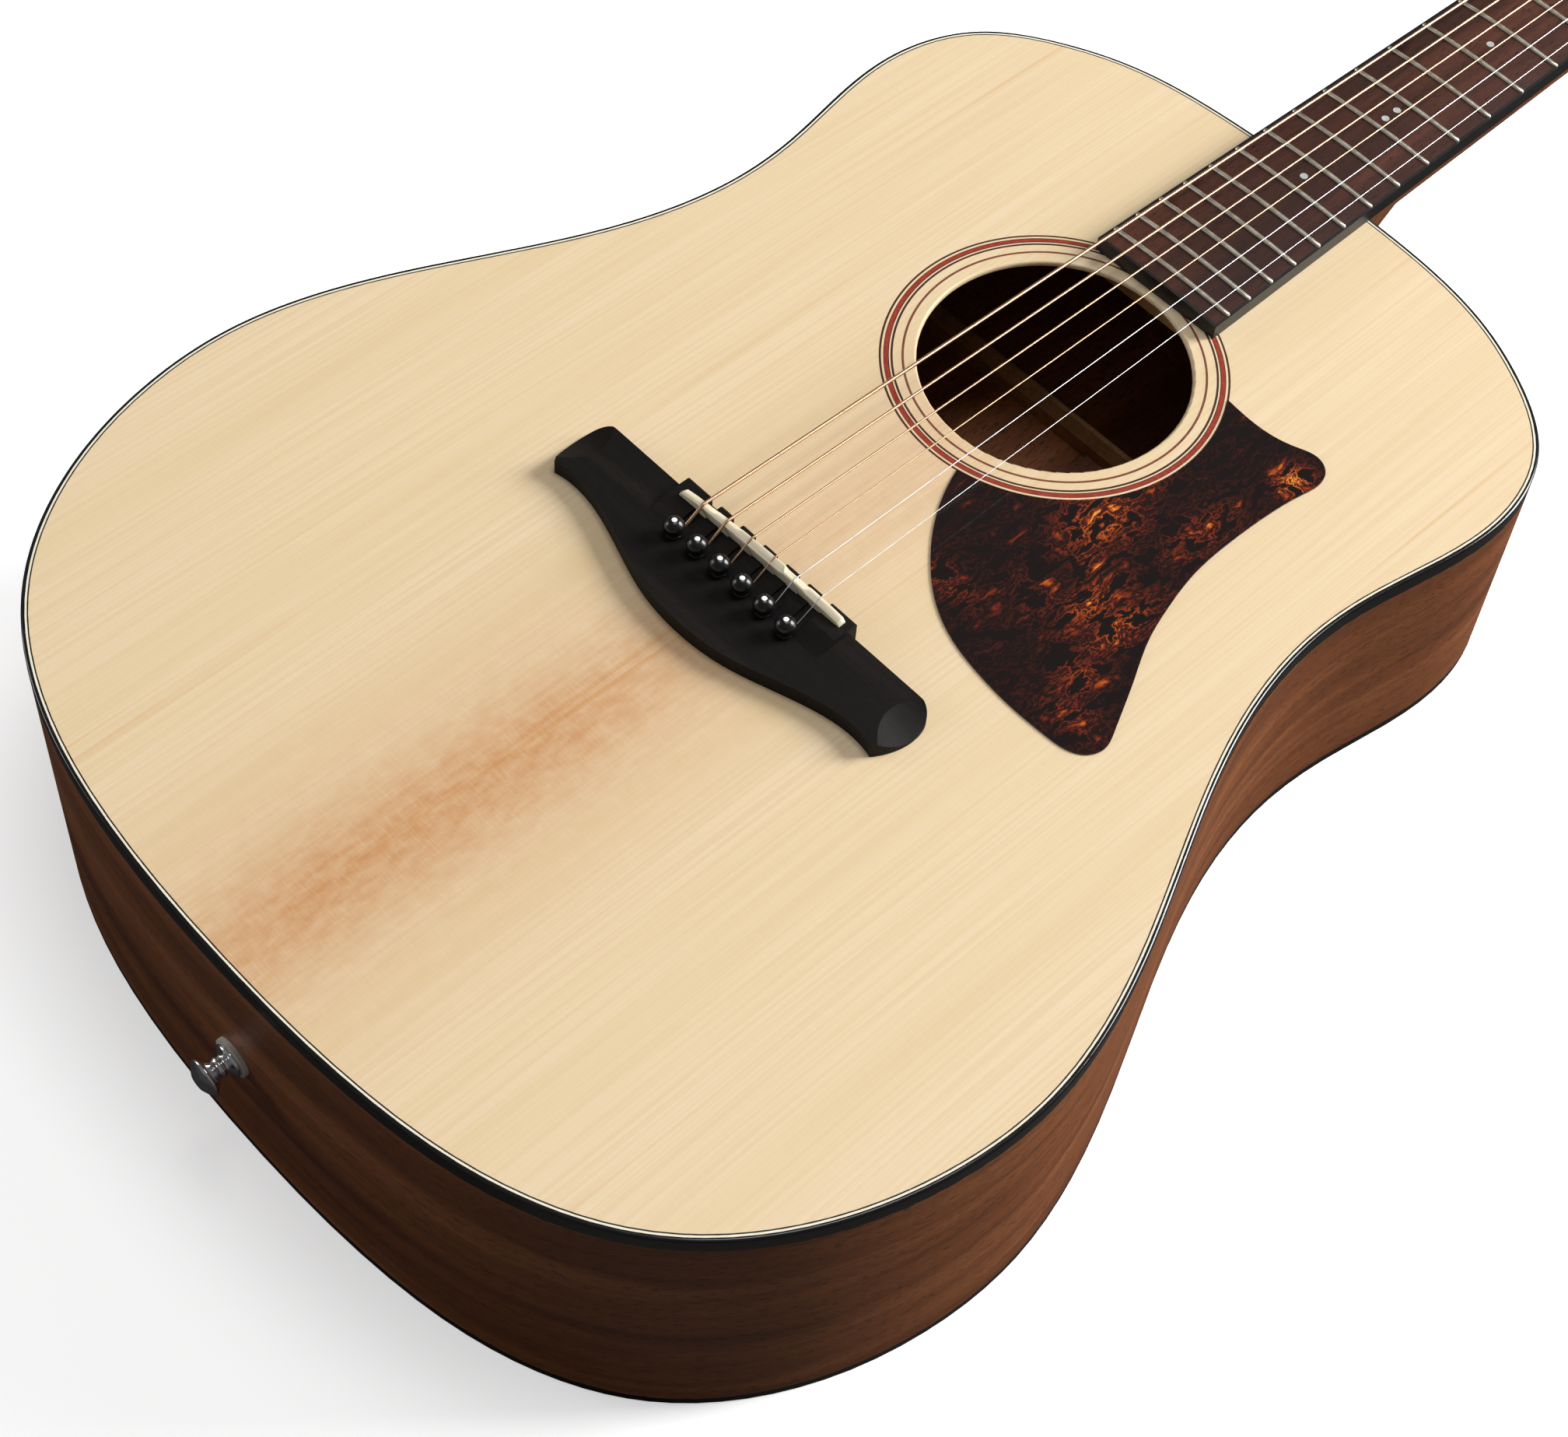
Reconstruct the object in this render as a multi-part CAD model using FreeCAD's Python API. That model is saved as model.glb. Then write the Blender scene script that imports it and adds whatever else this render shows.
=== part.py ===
import FreeCAD, Part
import math
import os

# Acoustic guitar. The shape is drawn with the soundboard's top at z = 0, the saddle line at y = 0,
# the neck towards +y and the treble side at +x. The last step lays it level on its flat back.

# Driving dimensions, in millimetres and degrees
SCALE_LENGTH = 650.0
BODY_DEPTH = 111.6          # below the saddle line
TAPER = 3.0                 # the soundboard's slope against the back
TOP_THICK = 2.8
BACK_THICK = 2.8
SIDE_THICK = 2.2
BINDING_WIDE = 1.4
TOP_BINDING_TALL = 6.5
BACK_BINDING_TALL = 3.6
LIGHT_LINE = 0.7
DARK_LINE = 0.5
INLAY_DEEP = 1.5
SKIN = BINDING_WIDE
LIGHT_IN = SKIN + LIGHT_LINE
DARK_IN = LIGHT_IN + DARK_LINE
LINING_WIDE = 5.5
LINING_TALL = 13.0
LINING_IN = SIDE_THICK + LINING_WIDE
BINDING_ROUND = 0.9
HOLE_ROUND = 1.1

HOLE_Y = 142.5
HOLE_R = 51.0
ROSETTE_RINGS = [(55.1, 55.9), (59.1, 59.7), (60.0, 60.6), (60.8, 62.9), (63.7, 64.4)]
PICKGUARD_THICK = 0.6
GUARD_GAP_R = 64.6

BOARD_NUT_WIDE = 44.2
BOARD_END_WIDE = 59.8
BOARD_END_Y = 196.5
BOARD_THICK = 7.3
BOARD_ARCH_R = 400.0
BOARD_BINDING = 1.2
FRET_COUNT = 20
FRET_WIDE = 2.2
FRET_HIGH = 1.1
TANG_WIDE = 0.56
TANG_DEEP = 2.0
FRET_END_IN = 0.7
DOT_R = 1.6
DOT_DEEP = 1.5
DOT_FRETS = [3, 5, 7, 9, 12, 15]
TWIN_DOTS = 7.2

NECK_Y = 291.0
NUT_THICK = 5.5
NUT_HIGH = 9.6
NECK_DEEP = 14.5
NECK_DEEP_AT_HEEL = 17.5
# height, half width and reach towards the head, down the heel
HEEL_LEVELS = [(0, 28.2, 84), (-10, 27.8, 60), (-20, 26.8, 43), (-34, 24.6, 29), (-52, 21.5, 20.5),
               (-72, 18.0, 16), (-92.5, 14.5, 13.5)]
HEAD_ANGLE = 13.0
HEAD_THICK = 15.0
VENEER = 1.5
HEAD_LONG = 182.0
HEAD_FLARE = [(22.1, 0), (23.3, 6), (29.5, 16), (33.5, 26)]
HEAD_CROWN = [(37.5, 170), (34.5, 177.5), (20, HEAD_LONG - 1.2), (0, HEAD_LONG)]

TRUSS_R = 2.5
TRUSS_Z = -9.5
TRUSS_NUT_LONG = 10.0
TRUSS_NUT_Y = 246.0
TRUSS_NUT_R = 4.1
TRUSS_END_Y = 640.0
TRUSS_START_Y = TRUSS_NUT_Y + 1.0

STRING_R = [0.675, 0.535, 0.405, 0.305, 0.205, 0.15]
NUT_SPACING = 7.16
SADDLE_SPACING = 11.05
STRING_LOW_AT_NUT = 8.9
STRING_LOW_AT_SADDLE = 13.2
CREST_Y = [-6.8, -5.7, -4.4, -4.0, -5.7, -3.9]

BRIDGE_WING = 6.5
BRIDGE_BLOCK = 9.0
BLOCK_HALF = 42.0
# the raised block's section: distance behind its front edge, and height
BLOCK_SECTION = [(0, 0), (0, 8.4), (-0.8, BRIDGE_BLOCK), (-10.5, BRIDGE_BLOCK), (-19.0, BRIDGE_WING),
                 (-19.0, 0)]
BRIDGE_REAR = [(79.5, -29.6), (68, -28.4), (53, -31.0), (38, -35.9), (20, -41.4), (0, -43.5)]
BRIDGE_TIP = [(76, -3.5), (82.3, -6.3), (84.5, -13.5), (83.2, -22.5), (79.5, -29.6)]
SCOOP_R = 30.0
SCOOP_SLOPE = 24.0
SCOOP_X = 73.0
SADDLE_THICK = 3.2
SADDLE_HALF = 39.0
SADDLE_FLOOR = 4.0
SADDLE_MID_Y = -5.35
SADDLE_SLANT = 1.7
PIN_SPACING = 11.15
PIN_Y = -19.3
PIN_BOW = 0.7
PIN_R = 2.4
PIN_NECK_R = 2.1
PIN_SHANK = [(-11.5, 0), (-11.5, 1.7), (-10.5, 2.1), (-6.0, PIN_R), (BRIDGE_WING, PIN_R), (BRIDGE_WING, 2.6),
             (7.8, 2.6), (8.2, PIN_NECK_R), (8.7, PIN_NECK_R)]
PIN_BALL_R = 3.9
PIN_BALL_MID = 11.4
PIN_BALL_STEPS = 8
PIN_EYE_R = 1.0
PIN_EYE_DEEP = 0.9
RUNNING_GAP = 0.05
NOTCH_WIDE = 5.0
RAMP_WIDE = 5.6
HOLE_AHEAD = 3.4
PIN_SPOTS = [((i - 2.5) * PIN_SPACING, PIN_Y - PIN_BOW * ((i - 2.5) / 2.5) ** 2)
             for i in range(6)]

POST_U = [48.0, 90.0, 132.0]
POST_X = 21.0
POST_R = 3.0
POST_HIGH = 12.0
GEAR_R = 5.6
GEAR_TEETH = 18
WORM_R = 2.6
WORM_BACK = 8.6
WORM_N = -19.2
KEY_SHAFT_R = 1.5
PLATE_THICK = 1.2
BUSHING_R = 4.5
BACK_N = -HEAD_THICK
PLATE_N = BACK_N - PLATE_THICK
EAR_NEAR = 6.5
EAR_FAR = 8.0
SCREW_AHEAD = 8.4
SCREW_BEHIND = 13.4
BUTTON_START = 43.0
SCREW_R = 1.1
EAR_HALF = 3.2
GEAR_THICK = 3.0

WRAP_N = 7.0
WRAPS = 3
STRING_BENDS = [2.2, 5.0, 12.0]
PLATE_UNDER = 2.5
BALL_R = 1.9
BALL_Z = -TOP_THICK - PLATE_UNDER - BALL_R

BUTTON_Z = -62.0
TAIL_Y = -233.5
BUTTON_SHANK_R = 2.5
BUTTON_SHANK_LONG = 20.0
WASHER_THICK = 1.6
WASHER_R = 7.6
# along the button, from the washer outwards, and radius
BUTTON_SHAPE = [(0, 6.3), (1.4, 6.3), (2.0, 5.0), (2.6, 3.9), (4.0, 3.7), (4.2, 4.0), (5.0, 4.0), (5.2, 3.7),
                (6.6, 3.9), (8.4, 5.4), (9.6, 7.3), (10.3, 7.6), (11.0, 7.4), (13.0, 3.2), (13.5, 0)]

BLOCK_HALF_WIDE = 38.0
NECK_BLOCK_Y = 252.0
END_BLOCK_Y = TAIL_Y + 22.0
X_CROSS_Y = 62.0
X_ANGLE = 47.0
X_UP = 186.0
X_DOWN = 252.0
BRACE_WIDE = 8.0
BRACE_TALL = 15.0
BRACE_END = 4.0
BRACE_RAMP = 45.0
UPPER_BRACE_WIDE = 12.0
UPPER_BRACE_Y = 208.0
UPPER_BRACE_HALF = 170.0
TONE_BAR_WIDE = 7.0
TONE_BAR_TALL = 11.0
TONE_BARS = [((110, -60), (-148, -118)), ((60, -122), (-92, -184))]
BRIDGE_PLATE = [(-52, 6), (52, 6), (72, -42), (-72, -42)]
BACK_BRACE_Y = [192.0, 70.0, -45.0, -140.0]
BACK_BRACE_WIDE = 7.0
BACK_BRACE_TALL = 14.0
BACK_BRACE_SHOULDER = 8.0
SEAM_STRIP_HALF = 9.0
SEAM_STRIP_THICK = 2.5

OFFSET_POINTS = 80
BIG = 400.0

V = FreeCAD.Vector
UP = V(0, 0, 1)
TO_HEAD = V(0, 1, 0)
SIDEWAYS = V(1, 0, 0)

BODY_HALF = [
    (47.5, 289.5), (90.5, 282.0), (120.0, 268.5), (143.5, 249.0), (156.0, 216.0), (154.5, 184.0),
    (148.0, 150.0), (145.8, 122.0), (150.0, 88.0), (162.0, 51.0), (180.0, 11.0), (196.5, -28.0),
    (207.0, -75.0), (204.5, -112.0), (189.0, -157.0), (158.0, -196.0), (116.0, -219.0), (62.0, -230.5),
]
GUARD_EDGE = [
    (12.0, 79.5), (14.5, 73.0), (20.0, 62.0), (26.5, 52.5), (37.0, 41.0), (47.5, 32.5), (63.0, 25.0),
    (79.0, 21.5), (95.0, 20.0), (112.0, 20.3), (121.5, 21.8), (126.8, 25.5), (128.8, 31.5), (126.5, 38.5),
    (116.0, 60.0), (108.5, 75.0), (103.0, 92.0), (99.5, 108.0), (98.3, 125.0), (98.6, 142.0), (101.0, 165.0),
    (102.0, 173.0), (99.5, 179.5), (93.5, 182.3), (84.5, 179.8), (74.0, 177.2), (63.5, 177.0), (53.0, 178.0),
]


# Small helpers

def box(x0, x1, y0, y1, z0, z1):
    return Part.makeBox(x1 - x0, y1 - y0, z1 - z0, V(x0, y0, z0))


def rod(r, start, along, length):
    return Part.makeCylinder(r, length, start, along)


def prism(points, along):
    wire = Part.makePolygon(points + [points[0]])
    return Part.Face(wire).extrude(along)


def join(shapes):
    first = shapes[0]
    if len(shapes) == 1:
        return first
    return first.multiFuse(shapes[1:]).removeSplitter()


def spline(points, closed=False):
    curve = Part.BSplineCurve()
    curve.interpolate(Points=points, PeriodicFlag=closed)
    return curve


def spin(points, centre, along):
    """Turn a half profile of (distance along, radius) pairs about an axis."""
    side = SIDEWAYS if abs(along.dot(SIDEWAYS)) < 0.5 else TO_HEAD
    side = (side - along * side.dot(along)).normalize()
    wire = [centre + along * a + side * r for a, r in points]
    face = Part.Face(Part.makePolygon(wire + [wire[0]]))
    return face.revolve(centre, along, 360)


# Frames: the back plane and the headstock

BACK_FRAME = FreeCAD.Placement(V(0, 0, -BODY_DEPTH), FreeCAD.Rotation(SIDEWAYS, TAPER))
LEVEL = BACK_FRAME.inverse()
HEAD_FRAME = FreeCAD.Placement(V(0, SCALE_LENGTH + NUT_THICK, 0), FreeCAD.Rotation(SIDEWAYS, -HEAD_ANGLE))


def placed(shape, frame):
    moved = shape.copy()
    moved.Placement = frame.multiply(moved.Placement)
    return moved


def back_slab(low, high):
    """Everything between two heights over the back's outer face."""
    return placed(box(-BIG, BIG, -BIG, BIG, low, high), BACK_FRAME)


def body_curve():
    right = [V(x, y, 0) for x, y in BODY_HALF]
    left = [V(-x, y, 0) for x, y in reversed(BODY_HALF)]
    return spline([V(0, NECK_Y, 0)] + right + [V(0, TAIL_Y, 0)] + left, closed=True)


BODY_CURVE = body_curve()


def outline(inset):
    """The body's outline, moved in from the outer face by a distance."""
    if inset == 0:
        return BODY_CURVE
    first, last = BODY_CURVE.FirstParameter, BODY_CURVE.LastParameter
    points = []
    for i in range(OFFSET_POINTS):
        u = first + (last - first) * i / OFFSET_POINTS
        t = BODY_CURVE.tangent(u)[0]
        points.append(BODY_CURVE.value(u) + V(t.y, -t.x, 0) * inset)
    return spline(points, closed=True)


def blank(inset, z0, z1):
    face = Part.Face(Part.Wire(outline(inset).toShape()))
    face.translate(V(0, 0, z0))
    return face.extrude(V(0, 0, z1 - z0))


def wall(outer, inner, z0, z1):
    return blank(outer, z0, z1).cut(blank(inner, z0 - 1, z1 + 1))


# Soundbox


def rosette():
    rings = []
    for inner, outer in ROSETTE_RINGS:
        ring = rod(outer, V(0, HOLE_Y, -INLAY_DEEP), UP, INLAY_DEEP)
        rings.append(ring.cut(rod(inner, V(0, HOLE_Y, -INLAY_DEEP - 1), UP, INLAY_DEEP + 2)))
    return rings


def pin_holes(radius, z0, z1):
    return [rod(radius, V(x, y, z0), UP, z1 - z0) for x, y in PIN_SPOTS]


def string_holes(z0, z1):
    return [rod(r + RUNNING_GAP, V(x, y + HOLE_AHEAD, z0), UP, z1 - z0)
            for (x, y), r in zip(PIN_SPOTS, STRING_R)]


def soundboard():
    top = blank(SKIN, -TOP_THICK, 0)
    top = top.cut(wall(SKIN - 1, DARK_IN, -INLAY_DEEP, 1))
    top = top.cut(rod(HOLE_R, V(0, HOLE_Y, -10), UP, 20))
    rims = [e for e in top.Edges if abs(e.BoundBox.XLength - 2 * HOLE_R) < 0.1]
    top = top.makeFillet(HOLE_ROUND, rims)
    for ring in rosette():
        top = top.cut(ring)
    for hole in pin_holes(PIN_R + RUNNING_GAP, -5, 1) + string_holes(-5, 1):
        top = top.cut(hole)
    return top


def back_plate():
    return blank(SKIN, -BIG, 0).common(back_slab(0, BACK_THICK))


def rims():
    shell = wall(0, SIDE_THICK, -BIG / 2, -TOP_THICK)
    shell = shell.cut(back_slab(-BIG / 2, BACK_THICK))
    ledge = wall(-2, SKIN, -BIG / 2, 1)
    shell = shell.cut(ledge.common(back_slab(-BIG / 2, BACK_BINDING_TALL)))
    shell = shell.cut(wall(-2, SKIN, -TOP_BINDING_TALL, 1))
    shell = shell.cut(rod(TRUSS_R, V(0, NECK_Y - 20, TRUSS_Z), TO_HEAD, 40))
    shell = shell.cut(rod(BUTTON_SHANK_R, V(0, TAIL_Y - 10, BUTTON_Z), TO_HEAD, 40))
    treble = shell.common(box(0, BIG, -BIG, BIG, -BIG, BIG))
    bass = shell.common(box(-BIG, 0, -BIG, BIG, -BIG, BIG))
    return bass, treble


def top_binding():
    ring = wall(0, SKIN, -TOP_BINDING_TALL, 0)
    long_edges = [e for e in ring.Edges if e.Length > 1000 and e.BoundBox.ZMin > -0.5]
    touched = max(long_edges, key=lambda e: e.BoundBox.XLength)
    return ring.makeFillet(BINDING_ROUND, [touched])


def back_binding():
    return wall(0, SKIN, -BIG / 2, 0).common(back_slab(0, BACK_BINDING_TALL))


def cavity(inset, low, high):
    """The inside of the box, between the back plate and the top plate."""
    return blank(inset, -BIG / 2, -high).common(back_slab(BACK_THICK + low, BIG))


def linings():
    keep_off = [box(-BLOCK_HALF_WIDE, BLOCK_HALF_WIDE, NECK_BLOCK_Y, BIG, -BIG, BIG),
                box(-BLOCK_HALF_WIDE, BLOCK_HALF_WIDE, -BIG, END_BLOCK_Y, -BIG, BIG)]
    under_top = wall(SIDE_THICK, SIDE_THICK + LINING_WIDE, -TOP_THICK - LINING_TALL, -TOP_THICK)
    on_back = wall(SIDE_THICK, SIDE_THICK + LINING_WIDE, -BIG / 2, -TOP_THICK)
    on_back = on_back.common(back_slab(BACK_THICK, BACK_THICK + LINING_TALL))
    strips = []
    for strip in (under_top, on_back):
        for block in keep_off:
            strip = strip.cut(block)
        strips += strip.Solids
    return strips


def neck_block():
    block = cavity(SIDE_THICK, 0, TOP_THICK)
    block = block.common(box(-BLOCK_HALF_WIDE, BLOCK_HALF_WIDE, NECK_BLOCK_Y, BIG, -BIG, BIG))
    return block.cut(rod(TRUSS_R, V(0, NECK_BLOCK_Y - 10, TRUSS_Z), TO_HEAD, 80))


def end_block():
    block = cavity(SIDE_THICK, 0, TOP_THICK)
    block = block.common(box(-BLOCK_HALF_WIDE, BLOCK_HALF_WIDE, -BIG, END_BLOCK_Y, -BIG, BIG))
    return block.cut(rod(BUTTON_SHANK_R, V(0, TAIL_Y - 10, BUTTON_Z), TO_HEAD, 10 + BUTTON_SHANK_LONG))


def top_brace(start, end, wide, tall):
    """A bar under the top from one plan point to another, with ramped ends."""
    run = end - start
    long = run.Length
    side = [V(0, 0, 0), V(long, 0, 0), V(long, 0, -BRACE_END), V(long - BRACE_RAMP, 0, -tall),
            V(BRACE_RAMP, 0, -tall), V(0, 0, -BRACE_END)]
    bar = prism([p + V(0, -wide / 2, 0) for p in side], V(0, wide, 0))
    turn = FreeCAD.Rotation(SIDEWAYS, run)
    bar = placed(bar, FreeCAD.Placement(start + V(0, 0, -TOP_THICK), turn))
    return bar.common(blank(LINING_IN, -BIG / 2, -TOP_THICK))


def x_braces():
    a = math.radians(X_ANGLE)
    cross = V(0, X_CROSS_Y, 0)
    bars = []
    for side in (-1, 1):
        along = V(side * math.sin(a), -math.cos(a), 0)
        bars.append(top_brace(cross - along * X_UP, cross + along * X_DOWN, BRACE_WIDE, BRACE_TALL))
    half = -TOP_THICK - BRACE_TALL / 2
    around = box(-20, 20, X_CROSS_Y - 20, X_CROSS_Y + 20, -BIG, BIG)
    over = around.common(box(-BIG, BIG, -BIG, BIG, half, 0))
    under = around.common(box(-BIG, BIG, -BIG, BIG, -BIG, half))
    bass = bars[0].cut(bars[1].common(under))
    treble = bars[1].cut(bars[0].common(over))
    return bass, treble


def upper_brace():
    start, end = V(-UPPER_BRACE_HALF, UPPER_BRACE_Y, 0), V(UPPER_BRACE_HALF, UPPER_BRACE_Y, 0)
    return top_brace(start, end, UPPER_BRACE_WIDE, BRACE_TALL)


def tone_bars():
    return [top_brace(V(*start, 0), V(*end, 0), TONE_BAR_WIDE, TONE_BAR_TALL) for start, end in TONE_BARS]


def bridge_plate():
    low = -TOP_THICK - PLATE_UNDER
    plate = prism([V(x, y, low) for x, y in BRIDGE_PLATE], V(0, 0, PLATE_UNDER))
    for hole in pin_holes(PIN_R + RUNNING_GAP, -9, 1) + string_holes(-9, 1):
        plate = plate.cut(hole)
    return plate


def back_braces():
    bars = []
    inner = blank(LINING_IN, -BIG / 2, -TOP_THICK)
    half = BACK_BRACE_WIDE / 2
    foot, shoulder, crest = BACK_THICK, BACK_THICK + BACK_BRACE_SHOULDER, BACK_THICK + BACK_BRACE_TALL
    for y in BACK_BRACE_Y:
        section = [(y - half, foot), (y + half, foot), (y + half, shoulder), (y + 1, crest), (y - 1, crest),
                   (y - half, shoulder)]
        side = [V(-BIG / 2, v, z) for v, z in section]
        bars.append(placed(prism(side, V(BIG, 0, 0)), BACK_FRAME).common(inner))
    return bars


def back_seam_strip():
    top = BACK_THICK + SEAM_STRIP_THICK
    strip = placed(box(-SEAM_STRIP_HALF, SEAM_STRIP_HALF, -BIG, BIG, BACK_THICK, top), BACK_FRAME)
    strip = strip.common(box(-BIG, BIG, END_BLOCK_Y, NECK_BLOCK_Y, -BIG, 0))
    for bar in back_braces():
        strip = strip.cut(bar)
    return strip.Solids


# Pickguard and tail button

def pickguard():
    points = [V(x, y, 0) for x, y in GUARD_EDGE]
    edge = spline(points).toShape()
    chord = Part.makeLine(points[-1], points[0])
    guard = Part.Face(Part.Wire([edge, chord])).extrude(V(0, 0, PICKGUARD_THICK))
    return guard.cut(rod(GUARD_GAP_R, V(0, HOLE_Y, -1), UP, 5))


def tail_button():
    out = V(0, -1, 0)
    foot = V(0, TAIL_Y - WASHER_THICK, BUTTON_Z)
    shank = [(-BUTTON_SHANK_LONG, 0), (-BUTTON_SHANK_LONG, BUTTON_SHANK_R), (0, BUTTON_SHANK_R)]
    return spin(shank + BUTTON_SHAPE, foot, out)


def tail_washer():
    disc = rod(WASHER_R, V(0, TAIL_Y + 1, BUTTON_Z), V(0, -1, 0), WASHER_THICK + 1)
    disc = disc.cut(rod(BUTTON_SHANK_R, V(0, TAIL_Y + 5, BUTTON_Z), V(0, -1, 0), 20))
    return disc.cut(blank(0, -BIG / 2, 0))


# Strings


def arch_drop(x):
    return BOARD_ARCH_R - math.sqrt(BOARD_ARCH_R ** 2 - x * x)


def string_points(i):
    """The string's centre line, from under the bridge plate to the tangent point on its post."""
    r = STRING_R[i]
    pin_x, pin_y = PIN_SPOTS[i]
    hole = V(pin_x, pin_y + HOLE_AHEAD, 0)
    at_nut = (i - 2.5) * NUT_SPACING
    at_saddle = (i - 2.5) * SADDLE_SPACING
    nut = V(at_nut, SCALE_LENGTH + NUT_THICK / 2, STRING_LOW_AT_NUT - arch_drop(at_nut) + r)
    crest = V(at_saddle, CREST_Y[i], STRING_LOW_AT_SADDLE - arch_drop(at_saddle) + r)
    return [hole + V(0, 0, BALL_Z), hole + V(0, 0, BRIDGE_WING - 0.2), crest, nut, wrap_start(i, nut)]


def post_place(i):
    """Headstock coordinates of the post of string i: side of the head, x, distance from the nut."""
    side = -1 if i < 3 else 1
    row = i if i < 3 else 5 - i
    return side, side * POST_X, POST_U[row]


def wrap_radius(i):
    return POST_R + RUNNING_GAP + STRING_R[i]


def wrap_start(i, nut):
    """Where the string meets the inner side of its post, in the soundboard's frame."""
    side, x, u = post_place(i)
    here = HEAD_FRAME.inverse().multVec(nut)
    dx, du = x - here.x, u - here.y
    far = math.hypot(dx, du)
    reach = wrap_radius(i)
    spread = math.acos(reach / far)
    towards_nut = math.atan2(-du, -dx)
    turn = towards_nut - side * spread
    return HEAD_FRAME.multVec(V(x + reach * math.cos(turn), u + reach * math.sin(turn), WRAP_N))


def bent_path(points, radii):
    """Straight runs joined by tangent arcs."""
    edges = []
    last = points[0]
    for before, corner, after, radius in zip(points, points[1:], points[2:], radii):
        into = (corner - before).normalize()
        out = (after - corner).normalize()
        half = into.getAngle(out) / 2
        cut = radius * math.tan(half)
        start = corner - into * cut
        end = corner + out * cut
        middle = corner + (out - into).normalize() * (radius / math.cos(half) - radius)
        edges.append(Part.LineSegment(last, start).toShape())
        edges.append(Part.Arc(start, middle, end).toShape())
        last = end
    edges.append(Part.LineSegment(last, points[-1]).toShape())
    return Part.Wire(edges)


def string(i):
    r = STRING_R[i]
    points = string_points(i)
    path = bent_path(points, STRING_BENDS)
    circle = Part.Wire(Part.makeCircle(r, points[0], UP))
    run = path.makePipeShell([circle], True, True)
    crest_y, nut_y = points[2].y, points[3].y
    run_parts = [run.common(box(-BIG, BIG, low, high, -BIG, BIG)).Solids[0]
                 for low, high in ((-BIG, crest_y), (crest_y, nut_y), (nut_y, 2 * BIG))]
    ball = Part.makeSphere(BALL_R, points[0] + V(0, 1.1, 0.05))
    side, x, u = post_place(i)
    rings = []
    for k in range(1, WRAPS + 1):
        ring = Part.makeTorus(wrap_radius(i), r, V(x, u, WRAP_N - k * (2 * r + 0.03)))
        rings.append(placed(ring, HEAD_FRAME))
    return [run_parts[0].fuse(ball)] + run_parts[1:] + rings


# Bridge

def bridge_plan():
    rear = [V(x, y, 0) for x, y in BRIDGE_REAR] + [V(-x, y, 0) for x, y in reversed(BRIDGE_REAR[:-1])]
    right = [V(x, y, 0) for x, y in BRIDGE_TIP]
    left = [V(-p.x, p.y, 0) for p in reversed(right)]
    edges = [spline(right).toShape(), spline(rear).toShape(), spline(left).toShape(),
             Part.makeLine(left[-1], right[0])]
    return Part.Face(Part.Wire(edges))


def tip_scoop(side):
    """A round gouge that slopes down over a wing's tip."""
    slope = math.radians(SCOOP_SLOPE)
    along = V(side * math.cos(slope), 0, -math.sin(slope))
    lift = V(side * math.sin(slope), 0, math.cos(slope))
    start = V(side * SCOOP_X, -14.5, BRIDGE_WING) + lift * SCOOP_R - along * 30
    return rod(SCOOP_R, start, along, 80)


def bridge(strings):
    wings = bridge_plan().extrude(V(0, 0, BRIDGE_WING))
    for side in (-1, 1):
        wings = wings.cut(tip_scoop(side))
    crown = [V(-BLOCK_HALF, y, z) for y, z in BLOCK_SECTION]
    body = join([wings, prism(crown, V(2 * BLOCK_HALF, 0, 0))])
    body = body.cut(saddle([]))
    for i, (x, y) in enumerate(PIN_SPOTS):
        at = (i - 2.5) * SADDLE_SPACING
        notch = box(at - NOTCH_WIDE / 2, at + NOTCH_WIDE / 2, -2.6, 2, 4.2, 20)
        ramp = [V(at - RAMP_WIDE / 2, -6, 8.2), V(at - RAMP_WIDE / 2, -6, 20), V(at - RAMP_WIDE / 2, y, 20),
                V(at - RAMP_WIDE / 2, y, BRIDGE_WING - 0.6)]
        body = body.cut(notch).cut(prism(ramp, V(RAMP_WIDE, 0, 0)))
    for hole in pin_holes(PIN_R + RUNNING_GAP, -1, 20) + string_holes(-1, 20) + strings:
        body = body.cut(hole)
    return body


def saddle(strings):
    """A compensated saddle: each string has its own crest line across the thickness, and a groove in it."""
    pieces = []
    edge = SADDLE_THICK / 2
    middles = [(i - 2.5) * SADDLE_SPACING for i in range(6)]
    breaks = [-SADDLE_HALF] + [m + SADDLE_SPACING / 2 for m in middles[:5]] + [SADDLE_HALF]
    for i, x in enumerate(middles):
        crest = STRING_LOW_AT_SADDLE - arch_drop(x)
        slot_y = SADDLE_MID_Y + x * math.tan(math.radians(SADDLE_SLANT))
        at = min(max(CREST_Y[i] - slot_y, -edge + 0.25), edge - 0.25)
        shape = [(-edge, SADDLE_FLOOR), (edge, SADDLE_FLOOR), (edge, crest - 1.0), (at + 0.2, crest),
                 (at - 0.2, crest), (-edge, crest - 1.0)]
        points = [V(breaks[i], y, z) for y, z in shape]
        pieces.append(prism(points, V(breaks[i + 1] - breaks[i], 0, 0)))
    bar = join(pieces)
    for side in (-1, 1):
        corner = [V(side * SADDLE_HALF, -5, 8.6), V(side * SADDLE_HALF, -5, 20),
                  V(side * (SADDLE_HALF - 7), -5, 20), V(side * (SADDLE_HALF - 4.5), -5, 12.0)]
        bar = bar.cut(prism(corner, V(0, 10, 0)))
    turn = FreeCAD.Rotation(UP, SADDLE_SLANT)
    bar = placed(bar, FreeCAD.Placement(V(0, SADDLE_MID_Y, 0), turn))
    for run in strings:
        bar = bar.cut(run)
    return bar


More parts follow.
